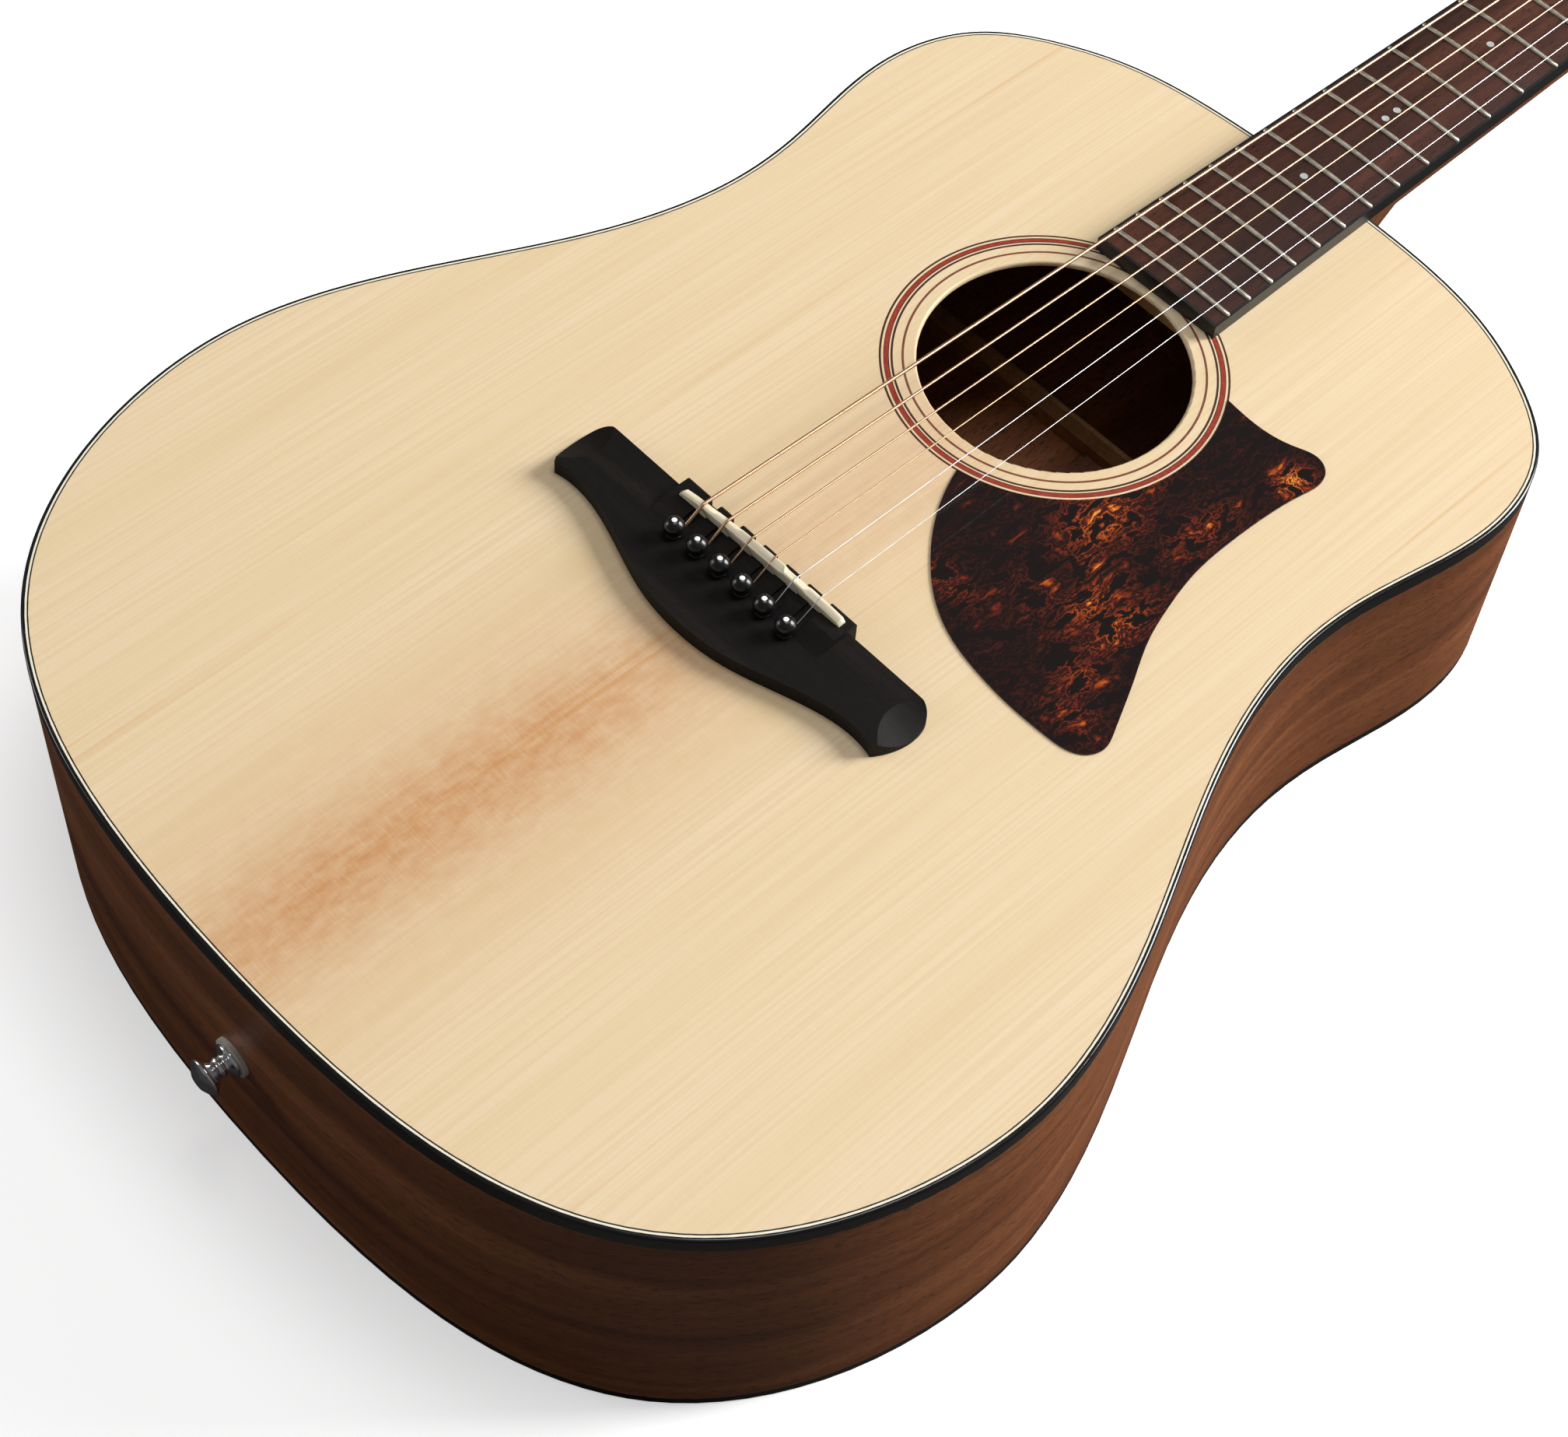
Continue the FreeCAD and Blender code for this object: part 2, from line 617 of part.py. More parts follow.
def bridge_pin(i):
    x, y = PIN_SPOTS[i]
    neck_angle = math.asin(PIN_NECK_R / PIN_BALL_R)
    arc = math.pi - neck_angle
    steps = [math.pi - neck_angle - arc * k / PIN_BALL_STEPS for k in range(PIN_BALL_STEPS + 1)]
    ball = [(PIN_BALL_MID + PIN_BALL_R * math.cos(a), max(PIN_BALL_R * math.sin(a), 0)) for a in steps]
    pin = spin(PIN_SHANK + ball, V(x, y, 0), UP)
    socket = V(x, y, PIN_BALL_MID + PIN_BALL_R - PIN_EYE_DEEP)
    return [pin.cut(rod(PIN_EYE_R, socket, UP, 5)), rod(PIN_EYE_R, socket, UP, PIN_EYE_DEEP - 0.15)]


# Neck, fretboard and headstock

def board_half(y):
    """Half the fretboard's width at a distance from the saddle line."""
    share = (SCALE_LENGTH - y) / (SCALE_LENGTH - BOARD_END_Y)
    return (BOARD_NUT_WIDE + (BOARD_END_WIDE - BOARD_NUT_WIDE) * share) / 2


def fret_y(n):
    return SCALE_LENGTH * 2 ** (-n / 12)


def board_blank(inset, end_y, low):
    far, near = SCALE_LENGTH, end_y
    points = [V(-board_half(near) + inset, near, low), V(board_half(near) - inset, near, low),
              V(board_half(far) - inset, far, low), V(-board_half(far) + inset, far, low)]
    slab = prism(points, V(0, 0, 20))
    arch = rod(BOARD_ARCH_R, V(0, 100, BOARD_THICK - BOARD_ARCH_R), TO_HEAD, 700)
    return slab.common(arch)


def dot_spots():
    spots = []
    for n in DOT_FRETS:
        middle = (fret_y(n) + fret_y(n - 1)) / 2
        spots += [middle - TWIN_DOTS / 2, middle + TWIN_DOTS / 2] if n == 12 else [middle]
    return spots


def position_dots():
    arch = board_blank(0, BOARD_END_Y, 0)
    return [rod(DOT_R, V(0, y, BOARD_THICK - DOT_DEEP), UP, 5).common(arch) for y in dot_spots()]


def curved_bar(profile, half_long):
    """Sweep a profile in the plane x = 0 across the neck, along the fretboard's arch."""
    angle = math.degrees(half_long / BOARD_ARCH_R)
    centre = V(0, 0, BOARD_THICK - BOARD_ARCH_R)
    face = profile.copy()
    face.rotate(centre, TO_HEAD, -angle)
    return face.revolve(centre, TO_HEAD, 2 * angle)


def tang(y):
    low, high, half = BOARD_THICK - TANG_DEEP, BOARD_THICK, TANG_WIDE / 2
    corners = [V(0, y - half, low), V(0, y + half, low), V(0, y + half, high), V(0, y - half, high)]
    face = Part.Face(Part.makePolygon(corners + [corners[0]]))
    return curved_bar(face, board_half(y) - BOARD_BINDING)


def fret(n):
    y = fret_y(n)
    half = FRET_WIDE / 2
    left, right = V(0, y - half, BOARD_THICK), V(0, y + half, BOARD_THICK)
    bow = Part.Arc(left, V(0, y, BOARD_THICK + FRET_HIGH), right).toShape()
    crown = curved_bar(Part.Face(Part.Wire([bow, Part.makeLine(right, left)])), board_half(y) - FRET_END_IN)
    return crown.fuse(tang(y))


def fretboard():
    board = board_blank(BOARD_BINDING, BOARD_END_Y + BOARD_BINDING, 0)
    for n in range(1, FRET_COUNT + 1):
        board = board.cut(tang(fret_y(n)))
    for y in dot_spots():
        board = board.cut(rod(DOT_R, V(0, y, BOARD_THICK - DOT_DEEP), UP, 5))
    return board


def fretboard_binding():
    strip = board_blank(0, BOARD_END_Y, 0)
    return strip.cut(board_blank(BOARD_BINDING, BOARD_END_Y + BOARD_BINDING, -5))


def neck_section(y, deep):
    half = board_half(y)
    under = []
    for k in range(9):
        a = math.pi * k / 8
        under.append(V(half * math.cos(a) * (1 - 0.06 * math.sin(a)), y, -deep * math.sin(a) ** 0.85))
    under[0], under[-1] = V(half, y, 0), V(-half, y, 0)
    return Part.Wire([spline(under).toShape(), Part.makeLine(under[-1], under[0])])


def heel_section(z, half, long):
    """A half ellipse that bulges towards the head, in a plane of constant height."""
    y = NECK_Y - 12
    points = [V(half * math.cos(a), y + (long + 12) * math.sin(a), z)
              for a in (math.pi * k / 10 for k in range(11))]
    return Part.Wire([spline(points).toShape(), Part.makeLine(points[-1], points[0])])


def heel():
    return Part.makeLoft([heel_section(*level) for level in HEEL_LEVELS], True)


def head_outline(low, high):
    right = [V(x, u, low) for x, u in HEAD_FLARE]
    crown = [V(x, u, low) for x, u in HEAD_CROWN]
    crown += [V(-p.x, p.y, low) for p in reversed(crown[:-1])]
    left = [V(-p.x, p.y, low) for p in reversed(right)]
    edges = [spline(right).toShape(), Part.makeLine(right[-1], crown[0]), spline(crown).toShape(),
             Part.makeLine(crown[-1], left[0]), spline(left).toShape(), Part.makeLine(left[-1], right[0])]
    return Part.Face(Part.Wire(edges)).extrude(V(0, 0, high - low))


def head_holes(radius):
    return [rod(radius, V(*post_place(i)[1:], -30), UP, 40) for i in range(6)]


def neck():
    shaft = Part.makeLoft([neck_section(NECK_Y - 15, NECK_DEEP_AT_HEEL),
                           neck_section(SCALE_LENGTH + 12, NECK_DEEP)], True, True)
    head = head_outline(-HEAD_THICK, -VENEER)
    face_room = placed(box(-60, 60, 0, 250, -VENEER, 40), HEAD_FRAME)
    body = shaft.fuse(heel()).cut(blank(0, -BIG / 2, 5)).cut(face_room)
    body = body.fuse(placed(head, HEAD_FRAME)).removeSplitter()
    screws = [tuner_screw(i, v) for i in range(6) for v in (SCREW_AHEAD, -SCREW_BEHIND)]
    for hole in head_holes(BUSHING_R) + screws:
        body = body.cut(placed(hole, HEAD_FRAME))
    return body.cut(rod(TRUSS_R, V(0, NECK_Y - 20, TRUSS_Z), TO_HEAD, TRUSS_END_Y - NECK_Y + 20))


def head_veneer():
    sheet = head_outline(-VENEER, 0)
    for hole in head_holes(BUSHING_R):
        sheet = sheet.cut(hole)
    return placed(sheet, HEAD_FRAME)


def nut(strings):
    half = BOARD_NUT_WIDE / 2
    y0, y1 = SCALE_LENGTH, SCALE_LENGTH + NUT_THICK
    section = [(y0, 0), (y1, 0), (y1, NUT_HIGH - 2.2), (y1 - 1.6, NUT_HIGH - 0.5), (y0 + 1.5, NUT_HIGH),
               (y0, NUT_HIGH - 0.1)]
    side = [V(-half, y, z) for y, z in section]
    bar = prism(side, V(2 * half, 0, 0))
    arch = rod(BOARD_ARCH_R, V(0, y0 - 5, NUT_HIGH - BOARD_ARCH_R), TO_HEAD, 20)
    bar = bar.common(arch)
    for s in strings:
        bar = bar.cut(s)
    return bar


def truss_rod():
    return rod(TRUSS_R, V(0, TRUSS_START_Y, TRUSS_Z), TO_HEAD, TRUSS_END_Y - TRUSS_START_Y)


def truss_rod_nut():
    corners = []
    for k in range(6):
        a = math.radians(60 * k)
        corners.append(V(TRUSS_NUT_R * math.cos(a), TRUSS_NUT_Y - 5, TRUSS_Z + TRUSS_NUT_R * math.sin(a)))
    hexagon = prism(corners, V(0, TRUSS_NUT_LONG, 0))
    return hexagon.cut(rod(TRUSS_R + RUNNING_GAP, V(0, TRUSS_START_Y - 1, TRUSS_Z), TO_HEAD, 30))


# Tuning machines, in the headstock's frame


def tuner_plate(i):
    side, x, u = post_place(i)
    w = u - WORM_BACK
    plate = box(x - 9, x + 9, u - 16, u + 11, PLATE_N, BACK_N)
    parts = [plate]
    for a, b in ((-EAR_FAR, -EAR_NEAR), (EAR_NEAR, EAR_FAR)):
        ear = box(x + a, x + b, w - EAR_HALF, w + EAR_HALF, WORM_N, PLATE_N)
        parts += [ear, rod(EAR_HALF, V(x + a, w, WORM_N), SIDEWAYS, b - a)]
    body = join(parts)
    body = body.cut(rod(POST_R + RUNNING_GAP, V(x, u, -30), UP, 40))
    body = body.cut(rod(KEY_SHAFT_R + RUNNING_GAP, V(x - 20, w, WORM_N), SIDEWAYS, 40))
    for v in (u + SCREW_AHEAD, u - SCREW_BEHIND):
        body = body.cut(rod(SCREW_R, V(x, v, -30), UP, 40))
    return body


def tuner_bushing(i):
    side, x, u = post_place(i)
    corners = [V(x + 5.6 * math.cos(math.radians(60 * k)), u + 5.6 * math.sin(math.radians(60 * k)), 0)
               for k in range(6)]
    cap = prism(corners, V(0, 0, 1.8))
    tube = rod(BUSHING_R, V(x, u, -8), UP, 8)
    return cap.fuse(tube).cut(rod(POST_R + RUNNING_GAP, V(x, u, -30), UP, 60))


def tuner_screw(i, v):
    side, x, u = post_place(i)
    at = V(x, u + v, PLATE_N)
    head = [(-9.0, 0), (-8.0, SCREW_R), (0, SCREW_R), (0, 1.7), (0.5, 1.6), (1.0, 0.9), (1.1, 0)]
    screw = spin(head, at, V(0, 0, -1))
    slot = box(x - 3, x + 3, u + v - 0.25, u + v + 0.25, PLATE_N - 1.3, PLATE_N - 0.6)
    return screw.cut(slot)


def tuner_post(i):
    side, x, u = post_place(i)
    low = WORM_N - 1.5
    shape = [(low, 0), (low, POST_R - 0.4), (low + 0.4, POST_R), (POST_HIGH - 0.8, POST_R),
             (POST_HIGH, POST_R - 0.9), (POST_HIGH, 0)]
    post = spin(shape, V(x, u, 0), UP)
    post = post.cut(rod(0.8, V(x - 5, u, 9.4), SIDEWAYS, 10))
    gear = rod(GEAR_R, V(x, u, low), UP, GEAR_THICK).cut(rod(POST_R, V(x, u, low - 1), UP, 5))
    for k in range(GEAR_TEETH):
        a = math.radians(360 * (k + 0.5) / GEAR_TEETH)
        gap = rod(0.55, V(x + GEAR_R * math.cos(a), u + GEAR_R * math.sin(a), low - 1), UP, 5)
        gear = gear.cut(gap)
    screw = spin([(0, 0), (0, 2.6), (0.8, 2.4), (1.3, 1.4), (1.4, 0)], V(x, u, low), V(0, 0, -1))
    screw = screw.cut(box(x - 4, x + 4, u - 0.35, u + 0.35, low - 3, low - 0.8))
    return [post, gear, screw]


def key_button(x0, side, u):
    """A flat, round-shouldered finger button on the end of the worm's shaft."""
    plan = [V(x0, u - 3.2, 0), V(x0 + side * 3, u - 7.0, 0), V(x0 + side * 8, u - 9.8, 0),
            V(x0 + side * 13.5, u - 8.2, 0), V(x0 + side * 16, u, 0), V(x0 + side * 13.5, u + 8.2, 0),
            V(x0 + side * 8, u + 9.8, 0), V(x0 + side * 3, u + 7.0, 0), V(x0, u + 3.2, 0)]
    edges = [spline(plan).toShape(), Part.makeLine(plan[-1], plan[0])]
    slab = Part.Face(Part.Wire(edges)).extrude(V(0, 0, 6.4))
    slab.translate(V(0, 0, WORM_N - 3.2))
    round_edges = [e for e in slab.Edges if e.Length > 30]
    return slab.makeFillet(2.2, round_edges)


def tuner_key(i):
    side, x, u = post_place(i)
    w = u - WORM_BACK
    along = SIDEWAYS * side
    start = V(x - side * 8.6, w, WORM_N)
    shaft = rod(KEY_SHAFT_R, start, along, abs(side * BUTTON_START - start.x) + 10)
    worm = [(-4.8, 0), (-4.8, 2.0)]
    for k in range(5):
        a = -4.6 + 1.9 * k
        worm += [(a, 2.0), (a + 0.45, WORM_R), (a + 1.0, WORM_R), (a + 1.45, 2.0)]
    worm += [(4.8, 2.0), (4.8, 0)]
    thread = spin(worm, V(x, w, WORM_N), SIDEWAYS)
    collar = rod(2.8, V(x + side * (EAR_FAR + 0.3), w, WORM_N), along, 3.0)
    metal = join([shaft, thread, collar])
    button = key_button(side * BUTTON_START, side, w).cut(shaft)
    return [metal, button]


# Assembly

def tuned(shapes):
    return [placed(s, HEAD_FRAME) for s in shapes]


def build():
    bass_side, treble_side = rims()
    bass_brace, treble_brace = x_braces()
    strings = [string(i) for i in range(6)]
    runs = [run for s in strings for run in s[:3]]
    nodes = {
        "soundboard": soundboard(), "back": back_plate(), "side_bass": bass_side, "side_treble": treble_side,
        "top_binding": top_binding(), "back_binding": back_binding(),
        "purfling_light": wall(SKIN, LIGHT_IN, -INLAY_DEEP, 0),
        "purfling_dark": wall(LIGHT_IN, DARK_IN, -INLAY_DEEP, 0),
        "kerfed_linings": linings(), "neck_block": neck_block(), "end_block": end_block(),
        "x_brace_bass": bass_brace, "x_brace_treble": treble_brace, "upper_brace": upper_brace(),
        "tone_bars": tone_bars(), "bridge_plate": bridge_plate(), "back_braces": back_braces(),
        "back_seam_strip": back_seam_strip(), "rosette": rosette(), "pickguard": pickguard(),
        "bridge": bridge(runs), "saddle": saddle(runs), "strap_button": tail_button(),
        "strap_button_washer": tail_washer(), "neck": neck(), "fretboard": fretboard(),
        "fretboard_binding": fretboard_binding(), "frets": [fret(n) for n in range(1, FRET_COUNT + 1)],
        "position_dots": position_dots(), "nut": nut(runs), "head_veneer": head_veneer(),
        "truss_rod": truss_rod(), "truss_rod_nut": truss_rod_nut(),
        "tuner_plates": tuned([tuner_plate(i) for i in range(6)]),
        "tuner_bushings": tuned([tuner_bushing(i) for i in range(6)]),
        "tuner_screws": tuned([tuner_screw(i, v) for i in range(6) for v in (SCREW_AHEAD, -SCREW_BEHIND)]),
    }
    for i in range(6):
        nodes["string_%d" % (6 - i)] = strings[i]
        nodes["bridge_pin_%d" % (6 - i)] = bridge_pin(i)
        nodes["tuner_post_%d" % (6 - i)] = tuned(tuner_post(i))
        nodes["tuner_key_%d" % (6 - i)] = tuned(tuner_key(i))
    return nodes


def export(nodes):
    os.makedirs("parts", exist_ok=True)
    for name, shape in nodes.items():
        solids = shape if isinstance(shape, list) else [shape]
        whole = Part.makeCompound(solids) if len(solids) > 1 else solids[0]
        level = placed(whole, LEVEL)
        level.exportStep("parts/" + name + ".step")
        size = level.BoundBox
        spans = (size.XMin, size.XMax, size.YMin, size.YMax, size.ZMin, size.ZMax)
        print(name, "solids", len(level.Solids), "valid", level.isValid(), "volume %.1f" % level.Volume,
              " ".join("%.1f" % v for v in spans))


export(build())
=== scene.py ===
import math

import bmesh
import bpy
from mathutils import Matrix, Vector


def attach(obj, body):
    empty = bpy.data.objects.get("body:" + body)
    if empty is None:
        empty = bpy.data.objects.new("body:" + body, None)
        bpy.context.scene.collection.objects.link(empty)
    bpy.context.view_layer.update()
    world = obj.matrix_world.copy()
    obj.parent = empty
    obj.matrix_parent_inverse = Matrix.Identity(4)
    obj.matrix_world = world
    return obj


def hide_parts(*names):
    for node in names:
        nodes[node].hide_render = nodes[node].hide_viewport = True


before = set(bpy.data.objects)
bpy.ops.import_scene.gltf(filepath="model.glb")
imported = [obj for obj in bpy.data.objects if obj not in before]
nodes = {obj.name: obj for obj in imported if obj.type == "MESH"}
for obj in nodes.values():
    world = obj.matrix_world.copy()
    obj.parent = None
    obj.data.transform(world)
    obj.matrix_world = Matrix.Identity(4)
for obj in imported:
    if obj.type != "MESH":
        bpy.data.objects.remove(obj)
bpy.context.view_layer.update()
print("frame loaded:", len(nodes), "nodes")

mm = 0.001
turnFull = 2 * math.pi
rowUp = 0.1116  # the soundboard's height at the saddle line, before it is tilted
slope = math.radians(3)
boardFrame = Matrix.Rotation(-slope, 4, "X") @ Matrix.Translation((0, 0, rowUp))
headFrame = boardFrame @ Matrix.Translation((0, 0.6555, 0)) @ Matrix.Rotation(math.radians(-13), 4, "X")


# camera, floor and lamps
view = {
    "place": (0.42977, -0.40678, 0.94646), "turn": (35.9415, -1.9173, 46.1641), "lens": 68.4,
    "shift": (-0.0434, -0.1116),
}
studio = {
    "floorSize": 12.0, "floorColour": "#ffffff", "floorGlow": 0.45, "floorBounce": "#4a4846",
    "world": "#ffffff", "worldPower": 0.16,
    # place, aim, width, height, power
    "lamps": {
        "key": ((1.9, 3.3, 2.0), (0.0, 0.05, 0.1), 1.8, 1.8, 224),
        "ceiling": ((0.3, 0.75, 4.0), (0.0, 0.1, 0.1), 1.5, 1.5, 44),
        "rib": ((1.15, 1.7, 0.42), (0.15, 0.18, 0.06), 0.5, 0.5, 12),
        "left": ((-1.9, -1.3, 0.9), (0.0, -0.15, 0.08), 0.9, 0.9, 12),
    },
}


def tone(hexText):
    # sRGB hex to linear colour
    parts = [int(hexText[i:i + 2], 16) / 255 for i in (1, 3, 5)]
    return (*[c / 12.92 if c <= 0.04045 else ((c + 0.055) / 1.055) ** 2.4 for c in parts], 1)


def add(tree, kind, settings=None, links=None):
    # one shader node: inputs or properties by name or number, ramp stops, and links from other nodes
    made = tree.nodes.new("ShaderNode" + kind)
    for key, value in (settings or {}).items():
        if isinstance(value, str) and value.startswith("#"):
            value = tone(value)
        if key == "stops":
            steps = made.color_ramp.elements
            for _ in value[2:]:
                steps.new(0.5)
            for step, (at, colour) in zip(steps, value):
                step.position = at
                step.color = tone(colour) if isinstance(colour, str) else (colour, colour, colour, 1)
        elif isinstance(key, int) or key in made.inputs:
            made.inputs[key].default_value = value
        else:
            setattr(made, key, value)
    for key, source in (links or {}).items():
        tree.links.new(source.outputs[0] if isinstance(source, bpy.types.Node) else source, made.inputs[key])
    return made


def startMaterial(name, settings):
    material = bpy.data.materials.new(name)
    material.use_nodes = True
    shader = material.node_tree.nodes["Principled BSDF"]
    for key, value in settings.items():
        shader.inputs[key].default_value = tone(value) if isinstance(value, str) else value
    return material, material.node_tree, shader


def space(tree, onBoard=False):
    # the piece's own coordinates, in metres, or the same laid square to the soundboard's top
    where = add(tree, "TexCoord").outputs["Object"]
    if onBoard:
        where = add(tree, "Mapping", {"Rotation": (slope, 0, 0), "Location": (0, 0, -rowUp)}, {0: where})
    return where


# Sitka spruce, quartersawn, thin satin lacquer: even fine rings, silk across, golden streaks, a warm centre
spruce = {
    "pale": "#e9d2ae", "ring": "#d9bb8b", "gold": "#cf9c52", "blush": "#c4854c", "silk": "#efdcba",
    "broad": "#e0c696",
    "ringMm": 1.3, "streakMm": 4.5, "broadMm": 30, "silkMm": 0.8, "roughness": 0.46,
    "blushHalfMm": 20, "glowHalfMm": 46, "rings": 0.35, "golden": 0.45, "warmth": 0.56, "glow": 0.32,
    # how warm the stripe is from the tail to the upper bout, and how far each way that runs
    "along": [(0.0, 0.8), (0.09, 1.0), (0.3, 0.95), (0.42, 0.6), (0.5, 0.35), (0.72, 0.36), (0.86, 0.0)],
    "reachY": 0.24,
}


def spruceMaterial():
    material, tree, shader = startMaterial("satin_quartersawn_spruce", {
        "Roughness": spruce["roughness"], "Coat Weight": 0.12, "Coat Roughness": 0.3, "IOR": 1.5})
    where = space(tree, True)
    parts = add(tree, "SeparateXYZ", None, {0: where}).outputs
    # the two halves are one board opened at the centre seam, so the rings mirror there
    mirrored = add(tree, "Math", {"operation": "ABSOLUTE"}, {0: parts[0]})
    drift = add(tree, "TexNoise", {"Scale": 1, "Detail": 2}, {
        0: add(tree, "Mapping", {"Scale": (5, 1.6, 5)}, {0: where})})
    across = add(tree, "Math", {"operation": "MULTIPLY_ADD", 1: 0.008}, {0: drift, 2: mirrored})
    grain = add(tree, "CombineXYZ", None, {
        0: across, 1: add(tree, "Math", {"operation": "MULTIPLY", 1: 0.01}, {0: parts[1]})})
    fine = add(tree, "TexNoise", {"Scale": 1 / (spruce["ringMm"] * mm), "Detail": 1.5}, {0: grain})
    rings = add(tree, "ValToRGB", {"stops": [(0.38, spruce["ring"]), (0.6, spruce["pale"])]}, {0: fine})
    body = add(tree, "Mix", {"data_type": "RGBA", 0: spruce["rings"], 6: spruce["pale"]}, {7: rings})
    broad = add(tree, "TexNoise", {"Scale": 1 / (spruce["broadMm"] * mm), "Detail": 2}, {0: grain})
    broadMask = add(tree, "ValToRGB", {"stops": [(0.42, 0.0), (0.72, 0.6)]}, {0: broad})
    body = add(tree, "Mix", {"data_type": "RGBA", 7: spruce["broad"]}, {0: broadMask, 6: body.outputs[2]})
    # resin streaks: few, thin, broken along their length
    coarse = add(tree, "TexNoise", {"Scale": 1 / (spruce["streakMm"] * mm), "Detail": 2}, {0: grain})
    thin = add(tree, "ValToRGB", {"stops": [(0.63, 0.0), (0.71, 1.0)]}, {0: coarse})
    broken = add(tree, "TexNoise", {"Scale": 1, "Detail": 3}, {
        0: add(tree, "Mapping", {"Scale": (40, 5, 40)}, {0: where})})
    kept = add(tree, "ValToRGB", {"stops": [(0.42, 0.0), (0.66, spruce["golden"])]}, {0: broken})
    streaks = add(tree, "Math", {"operation": "MULTIPLY"}, {0: thin, 1: kept})
    body = add(tree, "Mix", {"data_type": "RGBA", 7: spruce["gold"]}, {0: streaks, 6: body.outputs[2]})
    # the warm stripe beside the seam, strongest between the bridge and the tail, inside a broad faint glow
    sway = add(tree, "TexNoise", {"Scale": 1, "Detail": 2}, {
        0: add(tree, "Mapping", {"Scale": (2, 7, 2)}, {0: where})})
    shifted = add(tree, "Math", {"operation": "MULTIPLY_ADD", 1: -0.016}, {0: sway, 2: parts[0]})
    centred = add(tree, "Math", {"operation": "ADD", 1: 0.005}, {0: shifted})
    bells = []
    for halfMm in (spruce["blushHalfMm"], spruce["glowHalfMm"]):
        offset = add(tree, "Math", {"operation": "DIVIDE", 1: halfMm * mm}, {0: centred})
        square = add(tree, "Math", {"operation": "MULTIPLY"}, {0: offset, 1: offset})
        bells.append(add(tree, "Math", {"operation": "POWER", 0: 0.4}, {1: square}))
    along = add(tree, "ValToRGB", {"stops": spruce["along"]}, {
        0: add(tree, "MapRange", {"From Min": -spruce["reachY"], "From Max": spruce["reachY"]}, {
            0: parts[1]})})
    mottle = add(tree, "TexNoise", {"Scale": 1, "Detail": 4, "Roughness": 0.55}, {
        0: add(tree, "Mapping", {"Scale": (260, 110, 60)}, {0: where})})
    patchy = add(tree, "ValToRGB", {"stops": [(0.34, 0.66), (0.66, 1.0)]}, {0: mottle})
    stripe = add(tree, "Math", {"operation": "MULTIPLY", 1: spruce["warmth"]}, {0: bells[0]})
    warm = add(tree, "Math", {"operation": "MULTIPLY_ADD", 1: spruce["glow"]}, {0: bells[1], 2: stripe})
    strength = add(tree, "Math", {"operation": "MULTIPLY", "use_clamp": True}, {
        0: add(tree, "Math", {"operation": "MULTIPLY"}, {0: warm, 1: along}), 1: patchy})
    body = add(tree, "Mix", {"data_type": "RGBA", 7: spruce["blush"]}, {0: strength, 6: body.outputs[2]})
    # silk: short flecks across the rings, drawn coarser than the real 0.3 mm
    silk = add(tree, "TexNoise", {"Scale": 1, "Detail": 2}, {
        0: add(tree, "Mapping", {"Scale": (120, 1 / (spruce["silkMm"] * mm), 60)}, {0: where})})
    silkMask = add(tree, "ValToRGB", {"stops": [(0.5, 0.0), (0.75, 0.16)]}, {0: silk})
    body = add(tree, "Mix", {"data_type": "RGBA", 7: spruce["silk"]}, {0: silkMask, 6: body.outputs[2]})
    tree.links.new(body.outputs[2], shader.inputs["Base Color"])
    tree.links.new(add(tree, "Bump", {"Strength": 0.3, "Distance": 0.03 * mm}, {"Height": fine}).outputs[0],
                   shader.inputs["Normal"])
    return material


# mahogany and rosewood, open-pored under thin satin: ribbon streaks and short dark pores along the grain
mahogany = {"light": "#b57348", "mid": "#91552f", "dark": "#62341c", "pore": "#2c140b"}
rosewood = {"light": "#70412f", "mid": "#4a271c", "dark": "#2a150f", "pore": "#0e0605"}
bridgeWood = {"light": "#2c2520", "mid": "#15110f", "dark": "#0b0908", "pore": "#040303"}
braceWood = {"light": "#caa06a", "mid": "#b98c58", "dark": "#9c7145", "pore": "#85603a"}
ribGrain = (0.14, 0.14, 2.0)      # grain runs round the ribs: a small number is the way of the grain
neckGrain = (1.2, 0.08, 1.2)
bridgeGrain = (0.10, 1.4, 1.4)


